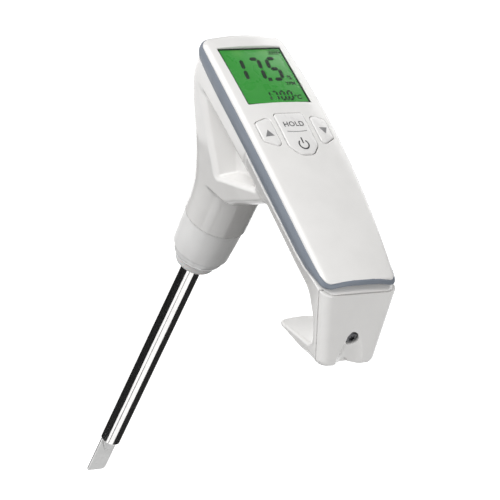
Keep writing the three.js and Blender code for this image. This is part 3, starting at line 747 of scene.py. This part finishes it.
WHITE = finish(
    "white_plastic", [(0.80, 0.79, 0.775), (0.825, 0.815, 0.80)], (0.16, 0.26), bump=0.03,
    **{"Coat Weight": 0.35, "Coat Roughness": 0.08, "IOR": 1.5},
)
SLEEVE_WHITE = finish(
    "sleeve_plastic", [(0.86, 0.855, 0.845), (0.885, 0.88, 0.87)], (0.3, 0.42), bump=0.06,
    **{"IOR": 1.5},
)
RING_WHITE = finish(
    "ring_gloss", [(0.86, 0.86, 0.855), (0.89, 0.885, 0.88)], (0.07, 0.13), bump=0.01,
    **{"Coat Weight": 0.8, "Coat Roughness": 0.03, "IOR": 1.52},
)
KEY_WHITE = finish(
    "key_plastic", [(0.77, 0.76, 0.75), (0.80, 0.79, 0.78)], (0.26, 0.36), bump=0.05,
    **{"Coat Weight": 0.15, "Coat Roughness": 0.2},
)
GREY_BAND = finish(
    "grey_band", [(0.175, 0.20, 0.24), (0.19, 0.215, 0.255)], (0.42, 0.55), grain=5200, bump=0.12,
)
SILICONE = finish(
    "silicone", [(0.70, 0.69, 0.68), (0.74, 0.73, 0.72)], (0.4, 0.55), bump=0.08,
    **{"Subsurface Weight": 0.1, "Subsurface Scale": 0.002},
)
BLACK_RUBBER = finish("black_rubber", [(0.02, 0.02, 0.022), (0.03, 0.03, 0.032)], (0.6, 0.8), bump=0.2)
BOARD = finish("circuit_board", [(0.012, 0.09, 0.04), (0.02, 0.13, 0.06)], (0.3, 0.45), bump=0.15)
CHIP = finish("chip_black", [(0.012, 0.012, 0.013), (0.02, 0.02, 0.021)], (0.4, 0.6), bump=0.2)
DARK_STEEL = finish(
    "dark_steel", [(0.07, 0.07, 0.075), (0.11, 0.11, 0.115)], (0.3, 0.5), mottle=900, bump=0.1,
    Metallic=1.0,
)
BRASS = finish("brass_insert", [(0.5, 0.31, 0.08), (0.56, 0.36, 0.12)], (0.25, 0.4), Metallic=1.0)
NICKEL = finish("nickel", [(0.56, 0.56, 0.53), (0.62, 0.62, 0.59)], (0.2, 0.35), Metallic=1.0)
JACKET = finish("cell_jacket", [(0.06, 0.07, 0.09), (0.08, 0.09, 0.11)], (0.25, 0.4))
CERAMIC = finish(
    "ceramic", [(0.90, 0.90, 0.89), (0.93, 0.93, 0.92)], (0.25, 0.38), grain=7000, bump=0.08,
)
CERAMIC_BACK = finish("ceramic_back", [(0.05, 0.05, 0.052), (0.08, 0.08, 0.082)], (0.3, 0.5))
CABLE = finish("cable_jacket", [(0.035, 0.04, 0.045), (0.05, 0.055, 0.06)], (0.5, 0.7), bump=0.1)
BACKLIGHT = finish("backlight", [(0.68, 0.78, 0.63), (0.74, 0.83, 0.69)], (0.45, 0.6))
LEGEND = finish("legend_ink", [(0.03, 0.03, 0.032), (0.045, 0.045, 0.048)], (0.35, 0.5), mottle=600)
ARROW_INK = finish("arrow_ink", [(0.2, 0.2, 0.205), (0.23, 0.23, 0.235)], (0.35, 0.5), mottle=600)
SEGMENT = finish(
    "lcd_segment", [(0.002, 0.012, 0.005), (0.003, 0.016, 0.007)], (0.3, 0.4), mottle=700, bump=0.0,
)


def steel_finish():
    """Polished tube with fine lengthwise draw lines."""
    return finish(
        "stainless", [(0.70, 0.69, 0.68), (0.76, 0.75, 0.74)], (0.05, 0.10), mottle=260, grain=5200,
        bump=0.025, stretch=(1, 1, 0.012), Metallic=1.0,
    )


STEEL = steel_finish()


def lcd_finish():
    """Evenly lit green liquid crystal with a faint glow where the lamps sit."""
    material = finish(
        "lcd_green", [(0.02, 0.15, 0.022), (0.022, 0.16, 0.024)], (0.25, 0.35), mottle=60, bump=0.0,
    )
    tree = material.node_tree
    shader = tree.nodes["Principled BSDF"]
    coordinates = node(tree, "ShaderNodeTexCoord").outputs["Object"]
    glow = None
    for across in (-7.4, 7.2):
        point = station_point(DISPLAY_STATION, -15.4, across, -PANEL_DEPTH)
        distance = node(tree, "ShaderNodeVectorMath", operation="DISTANCE")
        distance.inputs[1].default_value = [value * MM for value in point]
        tree.links.new(coordinates, distance.inputs[0])
        spot = ranged(tree, distance.outputs["Value"], 0.5, 0.0, 0.0005, 0.0045)
        if glow is None:
            glow = spot
        else:
            both = node(tree, "ShaderNodeMath", operation="MAXIMUM")
            tree.links.new(glow, both.inputs[0])
            tree.links.new(spot, both.inputs[1])
            glow = both.outputs["Value"]
    tint = node(tree, "ShaderNodeMix", data_type="RGBA")
    tint.inputs["A"].default_value = (0.05, 0.42, 0.055, 1)
    tint.inputs["B"].default_value = (0.22, 0.62, 0.14, 1)
    tree.links.new(glow, tint.inputs["Factor"])
    tree.links.new(tint.outputs["Result"], shader.inputs["Emission Color"])
    shader.inputs["Emission Strength"].default_value = 0.45
    return material


def window_finish():
    """Clear acrylic, nearly all see-through."""
    material = finish(
        "clear_window", [(0.01, 0.03, 0.01), (0.012, 0.035, 0.012)], (0.03, 0.07), mottle=120, bump=0.0,
    )
    material.node_tree.nodes["Principled BSDF"].inputs["Alpha"].default_value = 0.06
    return material


# ---- casing pieces
def station_point(station, along, across, lift):
    """A point given along, across and above the crown at a station."""
    origin, tangent, normal = station_frame(station)
    x, z = origin + along * tangent + lift * normal
    return (x, across, z)


def add(piece, body, material, slot, *replaced):
    """Gives a piece its material and body, and hides the CAD nodes that it stands for. The slot is not
    used.
    """
    piece.data.materials.clear()
    piece.data.materials.append(material)
    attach(piece, body)
    if replaced:
        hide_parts(*replaced)
    return piece


def node_box(name, margin=1.0):
    """A CAD node's box in millimetres, a little enlarged."""
    low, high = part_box(name)
    return [v / MM - margin for v in low], [v / MM + margin for v in high]


def add_casing():
    cover = sculpted("cover_shell", cover_field, *node_box("front_cover"), 0.45)
    add(cover, "casing", WHITE, "white_plastic", "front_cover")
    band = sculpted("grip_band", band_field, *node_box("seal_band"), 0.36)
    add(band, "casing", GREY_BAND, "grey_band", "seal_band")
    housing = sculpted("housing_shell", housing_field, *node_box("rear_housing", 1.5), 0.66)
    add(housing, "casing", WHITE, "white_plastic", "rear_housing")
    door = sculpted("battery_door", door_field, *node_box("battery_cover", 1.5), 0.36)
    add(door, "battery_door", WHITE, "white_plastic", "battery_cover")


def screw_field(x, y, z):
    """A pan head on a plain shank along X, with a six-lobed recess."""
    low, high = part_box("cover_screw")
    face, tail = high.x / MM, low.x / MM
    up = z - SCREW_Z
    distance = np.hypot(y, up)
    seat = face - SCREW_HEAD_HEIGHT
    dome = np.hypot(distance, x - face + SCREW_DOME_RADIUS) - SCREW_DOME_RADIUS
    head = meet(meet(distance - SCREW_HEAD_RADIUS, dome, 0.3), seat - x, 0.1)
    shank = np.maximum(distance - SCREW_SHANK_RADIUS, np.maximum(x - face + 0.4, tail - x))
    star = LOBE_RADIUS + LOBE_REACH * np.cos(6 * np.arctan2(up, y))
    lobes = np.maximum(distance - star, face - LOBE_DEPTH - x)
    return carve(np.minimum(head, shank), lobes, 0.08)


def add_screw():
    screw = sculpted("door_screw", screw_field, *node_box("cover_screw", 0.4), 0.13)
    add(screw, "door_screw", DARK_STEEL, "dark_steel", "cover_screw")


# ---- keys
KEYS = [
    ("button_hold_power", "hold_power_key", centre_key_plan, 0),
    ("button_down", "down_key", side_key_plan, 1),
    ("button_up", "up_key", side_key_plan, -1),
]


def key_top(along, across):
    """Height of a key's top over the key plane."""
    width = half_width(KEYS_STATION)
    curve = along * along / (2 * CROWN_RADIUS)
    return KEY_TOP - curve - CROWN_DROP * (abs(across) / width) ** CROWN_POWER


def on_key(along, across, level):
    return station_point(KEYS_STATION, along, across, key_top(along, across) + level)


def ribbon(points, width, closed=False):
    """Flat outline pieces of a stroke along points, one quad for each step."""
    points = [np.array(point, float) for point in points]
    count = len(points)
    sides = []
    for i, point in enumerate(points):
        before = points[i - 1] if i or closed else point
        after = points[(i + 1) % count] if i + 1 < count or closed else point
        run = after - before
        normal = np.array([-run[1], run[0]]) / np.linalg.norm(run)
        sides.append((point - normal * width / 2, point + normal * width / 2))
    steps = range(count if closed else count - 1)
    return [(sides[i][0], sides[(i + 1) % count][0], sides[(i + 1) % count][1], sides[i][1]) for i in steps]


def strokes(name, lines, width, place):
    """Printed lines as one thin raised piece. place turns (along, across, level) into a point."""
    points, faces = [], []
    for line, closed in lines:
        quads = ribbon(line, width, closed)
        count = len(quads) + (0 if closed else 1)
        start = len(points)
        rails = [(quad[0], quad[3]) for quad in quads]
        if not closed:
            rails.append((quads[-1][1], quads[-1][2]))
        for left, right in rails:
            for side in (left, right):
                points.append(place(side[0], side[1], -INK_HALF))
                points.append(place(side[0], side[1], INK_HALF))
        for i in range(len(quads)):
            a, b = start + 4 * i, start + 4 * ((i + 1) % count)
            faces += [(a + 1, b + 1, b + 3, a + 3), (a, a + 2, b + 2, b)]
            faces += [(a, b, b + 1, a + 1), (a + 2, a + 3, b + 3, b + 2)]
        if not closed:
            end = start + 4 * (count - 1)
            faces += [(start, start + 1, start + 3, start + 2), (end, end + 2, end + 3, end + 1)]
    obj = mesh_object(name, points, faces)
    return hard_edged(obj)


def lettering(name, text, height, centre, place, slant=0.0, spacing=1.0, weight=0.0):
    """Plain lettering as a thin raised piece, reading across the handle with its top at the head."""
    curve = bpy.data.curves.new(name, "FONT")
    curve.body = text
    curve.align_x = "CENTER"
    curve.space_character = spacing
    curve.offset = weight
    curve.shear = slant
    curve.extrude = 0.5
    curve.resolution_u = 6
    source = linked(name + "_text", curve)
    depsgraph = bpy.context.evaluated_depsgraph_get()
    mesh = bpy.data.meshes.new_from_object(source.evaluated_get(depsgraph))
    bpy.data.objects.remove(source)
    corners = np.array([vertex.co for vertex in mesh.vertices])
    low, high = corners.min(0), corners.max(0)
    scale = height / (high[1] - low[1])
    middle = (low + high) / 2
    for vertex, (u, v, w) in zip(mesh.vertices, corners):
        across = centre[1] + (u - middle[0]) * scale
        along = centre[0] - (v - middle[1]) * scale
        vertex.co = Vector(place(along, across, math.copysign(INK_HALF, w))) * MM
    obj = linked(name, mesh)
    return hard_edged(obj)


def arc(centre, radius, start, end, steps=40):
    """Points of an arc in degrees, with 0 towards the foot and 90 across to the right."""
    turns = np.radians(np.linspace(start, end, steps))
    return [(centre[0] + radius * math.cos(t), centre[1] + radius * math.sin(t)) for t in turns]


def add_keys():
    for cad_name, body, plan, side in KEYS:
        cap = sculpted(cad_name + "_cap", key_field(plan, side), *node_box(cad_name, 0.8), 0.28)
        add(cap, body, KEY_WHITE, "key_plastic", cad_name)


def add_key_legends():
    hold = lettering("legend_hold", "HOLD", 2.7, (-5.2, 0), on_key, spacing=1.08, weight=0.006)
    add(hold, "hold_power_key", LEGEND, "chip_black")
    divider = strokes("legend_divider", [(arc((-31.8, 0), 31, -9.8, 9.8, 24), False)], 0.32, on_key)
    add(divider, "hold_power_key", ARROW_INK, "chip_black")
    ring = arc((6.4, 0), 2.45, -142, 142, 48)
    bar = [(2.6, 0), (4.0, 0), (5.8, 0)]
    power = strokes("legend_power", [(ring, False), (bar, False)], 0.66, on_key)
    add(power, "hold_power_key", LEGEND, "chip_black")
    for name, body, side in (("legend_up", "up_key", -1), ("legend_down", "down_key", 1)):
        tip = side * 1.75
        middle, half = side * 15, 2.15
        outline = [(-1.2 + tip, middle), (-1.2 - tip, middle - half), (-1.2 - tip, middle + half)]
        arrow = prism(name, outline, -INK_HALF, INK_HALF, on_key)
        add(arrow, body, ARROW_INK, "chip_black")


# ---- display
DIGIT_SLANT = 0.125
SEGMENTS_OF = {"0": "abcdef", "1": "bc", "5": "acdfg", "7": "abc"}


def on_display(along, across, level):
    return station_point(DISPLAY_STATION, along, across, level)


def on_panel(along, across, level):
    return on_display(along, across, level - PANEL_DEPTH)


def bar_outline(start, end, thickness):
    """A pointed display bar between two points."""
    start, end = np.array(start, float), np.array(end, float)
    run = (end - start) / np.linalg.norm(end - start)
    side = np.array([-run[1], run[0]]) * thickness / 2
    point = run * thickness * 0.42
    return [start, start + point + side, end - point + side, end, end - point - side, start + point - side]


def digit_bars(digit, height, width, thickness):
    """The bars of one digit as outlines of (down, right) points from its middle."""
    h, w, t = height / 2 - thickness / 2, width / 2 - thickness / 2, 0.16 * thickness
    ends = {
        "a": ((-h, -w + t), (-h, w - t)),
        "b": ((-h + t, w), (-t, w)),
        "c": ((t, w), (h - t, w)),
        "d": ((h, -w + t), (h, w - t)),
        "e": ((t, -w), (h - t, -w)),
        "f": ((-h + t, -w), (-t, -w)),
        "g": ((0, -w + t), (0, w - t)),
    }
    bars = [bar_outline(*ends[letter], thickness) for letter in SEGMENTS_OF[digit]]
    return [[(down, right - DIGIT_SLANT * down) for down, right in bar] for bar in bars]


def display_number(name, text, right_edge, middle, height, width, thickness, pitch):
    """A number in bars, its last digit ending at right_edge."""
    parts = []
    digits = text.replace(".", "")
    for place, digit in enumerate(reversed(digits)):
        centre = right_edge - width / 2 - place * pitch
        for i, bar in enumerate(digit_bars(digit, height, width, thickness)):
            outline = [(middle + down, centre + right) for down, right in bar]
            parts.append(prism(f"{name}_{place}_{i}", outline, -0.02, 0.05, on_panel))
    base = middle + height / 2 - thickness / 2
    dot = right_edge - width - (pitch - width) / 2 - DIGIT_SLANT * (height / 2 - thickness / 2)
    half = thickness * 0.5
    corners = [(-half, -half), (-half, half), (half, half), (half, -half)]
    outline = [(base + down, dot + right - DIGIT_SLANT * down) for down, right in corners]
    parts.append(prism(name + "_dot", outline, -0.02, 0.05, on_panel))
    return joined(name, parts)


def battery_icon():
    """A small cell outline with four charge bars."""
    middle, centre, half_height, half_length = -14.2, 12.3, 1.05, 2.9
    slant = 0.3

    def lean(down, right):
        return middle + down, centre + right - slant * down

    frame_line = [(-half_height, -half_length), (-half_height, half_length)]
    frame_line += [(half_height, half_length), (half_height, -half_length)]
    lines = [([lean(*point) for point in frame_line], True)]
    for i in range(4):
        right = -half_length + 1.0 + i * 1.3
        lines.append(([lean(-0.62, right), lean(0, right), lean(0.62, right)], False))
    pole = half_length + 0.4
    lines.append(([lean(-0.4, pole), lean(0, pole), lean(0.4, pole)], False))
    outline = strokes("lcd_battery_frame", lines[:1], 0.3, on_panel)
    bars = strokes("lcd_battery_bars", lines[1:], 0.78, on_panel)
    return joined("lcd_battery_icon", [outline, bars])


def flat_box(name, half_along, half_across, low, high, bevel):
    """A bevelled slab square to the crown at the display."""
    corners = [(-half_along, -half_across), (half_along, -half_across)]
    corners += [(half_along, half_across), (-half_along, half_across)]
    return bevelled(prism(name, corners, low, high, on_display), bevel)


def add_display():
    panel = flat_box("lcd_face", 18.4, 18.4, -7.2, -PANEL_DEPTH, 0.1)
    add(panel, "casing", lcd_finish(), "lcd_glass", "lcd_panel")
    reach = DISPLAY_HALF - 0.12
    window = flat_box("clear_window", reach, reach, 0.12 - PANEL_DEPTH, -WINDOW_DEPTH, 0.08)
    add(window, "casing", window_finish(), "display_green", "display_window")
    big = display_number("lcd_big_number", "17.5", 11.4, -4.2, 14.7, 6.9, 2.05, 9.4)
    small = display_number("lcd_small_number", "170.0", 9.9, 12.0, 6.1, 3.1, 1.0, 3.95)
    percent = lettering("lcd_percent", "%", 2.6, (1.3, 13.3), on_panel, 0.2, weight=0.03)
    total = lettering("lcd_unit", "TPM", 2.0, (4.9, 12.3), on_panel, 0.2, weight=0.03)
    degrees = lettering("lcd_degrees", "°C", 2.8, (13.1, 12.3), on_panel, 0.2, weight=0.03)
    # Painted shade: a dark ink frame round the panel's edge stands in for the shade inside the walls of the
    # display recess.
    edge = DISPLAY_HALF - 0.5
    frame_line = [(-edge, -edge), (-edge, edge), (edge, edge), (edge, -edge)]
    recess_shade = strokes("lcd_recess_shade", [(frame_line, True)], 1.3, on_panel)
    for piece in (big, small, percent, total, degrees, battery_icon(), recess_shade):
        add(piece, "casing", SEGMENT, "chip_black")


# ---- probe
def radius_and_levels(name):
    low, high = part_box(name)
    return high.x / MM, low.z / MM, high.z / MM


def add_probe():
    radius, bottom, top = radius_and_levels("probe_tube")
    wall = 0.5
    tube = turned(
        "steel_tube",
        [
            (radius - wall, bottom, 0.1),
            (radius, bottom, 0.18),
            (radius, top, 0.1),
            (radius - wall, top, 0.1),
        ],
    )
    add(tube, "casing", STEEL, "stainless", "probe_tube")
    bore = radius + 2.2
    sleeve = turned(
        "collar_sleeve",
        [
            (bore, 148, 0),
            (13.5, 148, 0.3),
            (14.0, 157, 2.0),
            (14.4, 165.8, 0.6),
            (14.25, 166.8, 0.3),
            (10.7, 166.8, 0),
            (10.7, 184, 0.3),
            (bore, 184, 0.3),
        ],
    )
    add(sleeve, "casing", SLEEVE_WHITE, "white_plastic", "probe_sleeve")
    bore = radius + 1.2
    ring = turned(
        "gloss_ring",
        [
            (bore, 142.8, 0),
            (10.7, 142.8, 0.5),
            (12.15, 144.4, 1.2),
            (12.3, 147.0, 0.6),
            (11.9, 147.75, 0.2),
            (bore, 147.75, 0),
        ],
    )
    add(ring, "casing", RING_WHITE, "white_plastic", "sleeve_ring")
    bore = radius + GAP
    lip = turned(
        "soft_lip",
        [
            (bore, 138.1, 0.3),
            (8.2, 138.05, 1.3),
            (9.7, 139.6, 1.0),
            (9.6, 141.6, 0.6),
            (9.2, 142.5, 0.3),
            (bore, 142.5, 0),
        ],
    )
    add(lip, "casing", SILICONE, "silicone", "gland_lip")


def blade_outline(bottom, grow):
    """The sensor blade seen along X, with one lower corner rounded off."""
    _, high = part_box("sensor_plate")
    half = high.y / MM + grow
    top, neck_top = 21.7, high.z / MM
    corner = [(half - 2.6, bottom), (half - 1.0, bottom + 0.25)]
    corner += [(half - 0.2, bottom + 1.0), (half, bottom + 2.8)]
    right = [(half, top), (4.1, top), (4.1, neck_top)]
    left = [(-4.1, neck_top), (-4.1, top), (-half, top), (-half, bottom)]
    return corner + right + left


def add_sensor():

    def place(across, height, level):
        return level, across, height

    half = 0.3
    plate = bevelled(prism("sensor_blade", blade_outline(0.0, 0.0), -half, half, place), 0.1)
    add(plate, "casing", CERAMIC, "ceramic", "sensor_plate")
    backing = prism("sensor_back", blade_outline(0.3, -0.05), -half - 0.6, -half - 0.05, place)
    add(bevelled(backing, 0.1), "casing", CERAMIC_BACK, "ceramic_back", "sensor_backing")
    plug = sculpted("potting_cone", potting_field, *node_box("potting_plug", 0.5), 0.18)
    add(plug, "casing", CERAMIC, "ceramic", "potting_plug")


def potting_field(x, y, z):
    """A half cone on the blade's face under a round plug inside the tube."""
    distance = np.hypot(x, y)
    reach = np.interp(z, [13.2, 14.2, 21.2, 22.4], [0.0, 1.0, 4.25, 4.4])
    cone = (distance - reach) / 1.1
    plug = meet(cone, z - 37.9, 0.2)
    slot = np.maximum(np.abs(x + 0.25) - 0.72, z - 34.9)
    rear = np.maximum(x + 0.9, z - 21.7)
    return np.maximum(np.maximum(plug, -slot), -rear)


# ---- carried-over CAD pieces
CAD_FINISHES = {
    "battery_seal": BLACK_RUBBER,
    "screw_insert": BRASS,
    "lcd_backlight": BACKLIGHT,
    "keypad_mat": SILICONE,
    "main_pcb": BOARD,
    "microcontroller": CHIP,
    "buzzer": CHIP,
    "probe_connector": SILICONE,
    "battery_cradle": WHITE,
    "sleeve_seal": BLACK_RUBBER,
    "gland_bush": BLACK_RUBBER,
    "sensor_cable": CABLE,
}
CAD_FINISHES.update({f"{key}_switch": CHIP for key in ("hold", "power", "up", "down")})
CAD_FINISHES.update({f"pcb_screw_{i}": NICKEL for i in (1, 2, 3, 4)})
CAD_FINISHES.update({f"board_contact_{i}": NICKEL for i in (1, 2)})
CAD_FINISHES.update({f"battery_{i}": JACKET for i in (1, 2)})


def finish_cad_pieces():
    for name, material in CAD_FINISHES.items():
        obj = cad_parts[name]
        if not obj.material_slots:
            obj.data.materials.append(material)
        for slot in obj.material_slots:
            slot.material = material


# ---- stage, light and camera
FLOOR_Z = -0.10
CARD_RADIUS = 0.072
CARD_LEVELS = (-0.045, 0.15)


def add_floor():
    size = 6.0
    mesh = bpy.data.meshes.new("floor")
    turns = [(-1, -1), (1, -1), (1, 1), (-1, 1)]
    corners = [(size * across, size * along, FLOOR_Z) for across, along in turns]
    mesh.from_pydata(corners, [], [(0, 1, 2, 3)])
    floor = linked("floor", mesh)
    paper = finish("floor_paper", [(0.5, 0.5, 0.5), (0.51, 0.51, 0.51)], (0.8, 0.9), mottle=3, grain=300)
    shader = paper.node_tree.nodes["Principled BSDF"]
    shader.inputs["Emission Color"].default_value = (1, 1, 1, 1)
    shader.inputs["Emission Strength"].default_value = 0.85
    floor.data.materials.append(paper)
    floor.visible_diffuse = False
    floor.visible_shadow = False


def add_black_card(name, start, end):
    """A curved black card round the probe that only reflections see. Angles are from +X, in degrees."""
    angles = np.radians(np.linspace(start, end, 24))
    rims = [(CARD_RADIUS * math.cos(a), CARD_RADIUS * math.sin(a)) for a in angles]
    points = [(x, y, z) for x, y in rims for z in CARD_LEVELS]
    faces = [(2 * i, 2 * i + 2, 2 * i + 3, 2 * i + 1) for i in range(len(angles) - 1)]
    mesh = bpy.data.meshes.new(name)
    mesh.from_pydata(points, [], faces)
    card = linked(name, mesh)
    card.data.materials.append(CARD_BLACK)
    card.visible_camera = False
    card.visible_diffuse = False
    card.visible_shadow = False
    card.visible_transmission = False


AIM = (0.03, 0, 0.18)
CARD_BLACK = finish("card_black", [(0.004, 0.004, 0.004), (0.006, 0.006, 0.006)], (0.9, 1.0))


def add_light(name, place, size, power):
    light = bpy.data.lights.new(name, "AREA")
    light.shape = "RECTANGLE"
    light.size, light.size_y = size
    light.energy = power
    obj = linked(name, light)
    obj.location = place
    direction = Vector(AIM) - Vector(place)
    obj.rotation_euler = direction.to_track_quat("-Z", "Y").to_euler()


def add_world():
    world = bpy.data.worlds.new("studio")
    world.use_nodes = True
    background = world.node_tree.nodes["Background"]
    background.inputs["Color"].default_value = (1, 1, 1, 1)
    background.inputs["Strength"].default_value = 0.17
    bpy.context.scene.world = world


def add_camera():
    camera = bpy.data.cameras.new("camera")
    camera.sensor_width = 36
    camera.lens = 239.76
    camera.clip_start, camera.clip_end = 0.05, 50
    obj = linked("camera", camera)
    right, up, back = (0.4482, 0.8205, 0.3548), (-0.6816, 0.0569, 0.7295), (0.5784, -0.5688, 0.5847)
    turn = Matrix((right, up, back)).transposed()
    obj.rotation_mode = "QUATERNION"
    obj.rotation_quaternion = turn.to_quaternion()
    obj.location = (0.89788, -0.85374, 1.05148)
    bpy.context.scene.camera = obj


def add_studio():
    add_floor()
    add_black_card("card_left", -172, -70)
    add_black_card("card_middle", -44, -38)
    add_black_card("card_right", 8, 98)
    add_light("key_light", (-0.56, -1.1, 1.22), (1.6, 1.6), 28.5)
    add_light("fill_light", (1.42, 0.15, 1.10), (0.9, 0.9), 13.0)
    add_light("low_light", (0.56, -1.47, 0.02), (1.0, 1.0), 4.5)
    add_light("back_light", (-0.9, 1.25, 0.7), (1.0, 1.0), 7.0)
    add_world()
    add_camera()
    bpy.context.scene.view_settings.view_transform = "Standard"
    bpy.context.scene.view_settings.look = "None"


# ---- build
add_casing()
add_screw()
add_keys()
add_key_legends()
add_display()
add_probe()
add_sensor()
finish_cad_pieces()
add_studio()
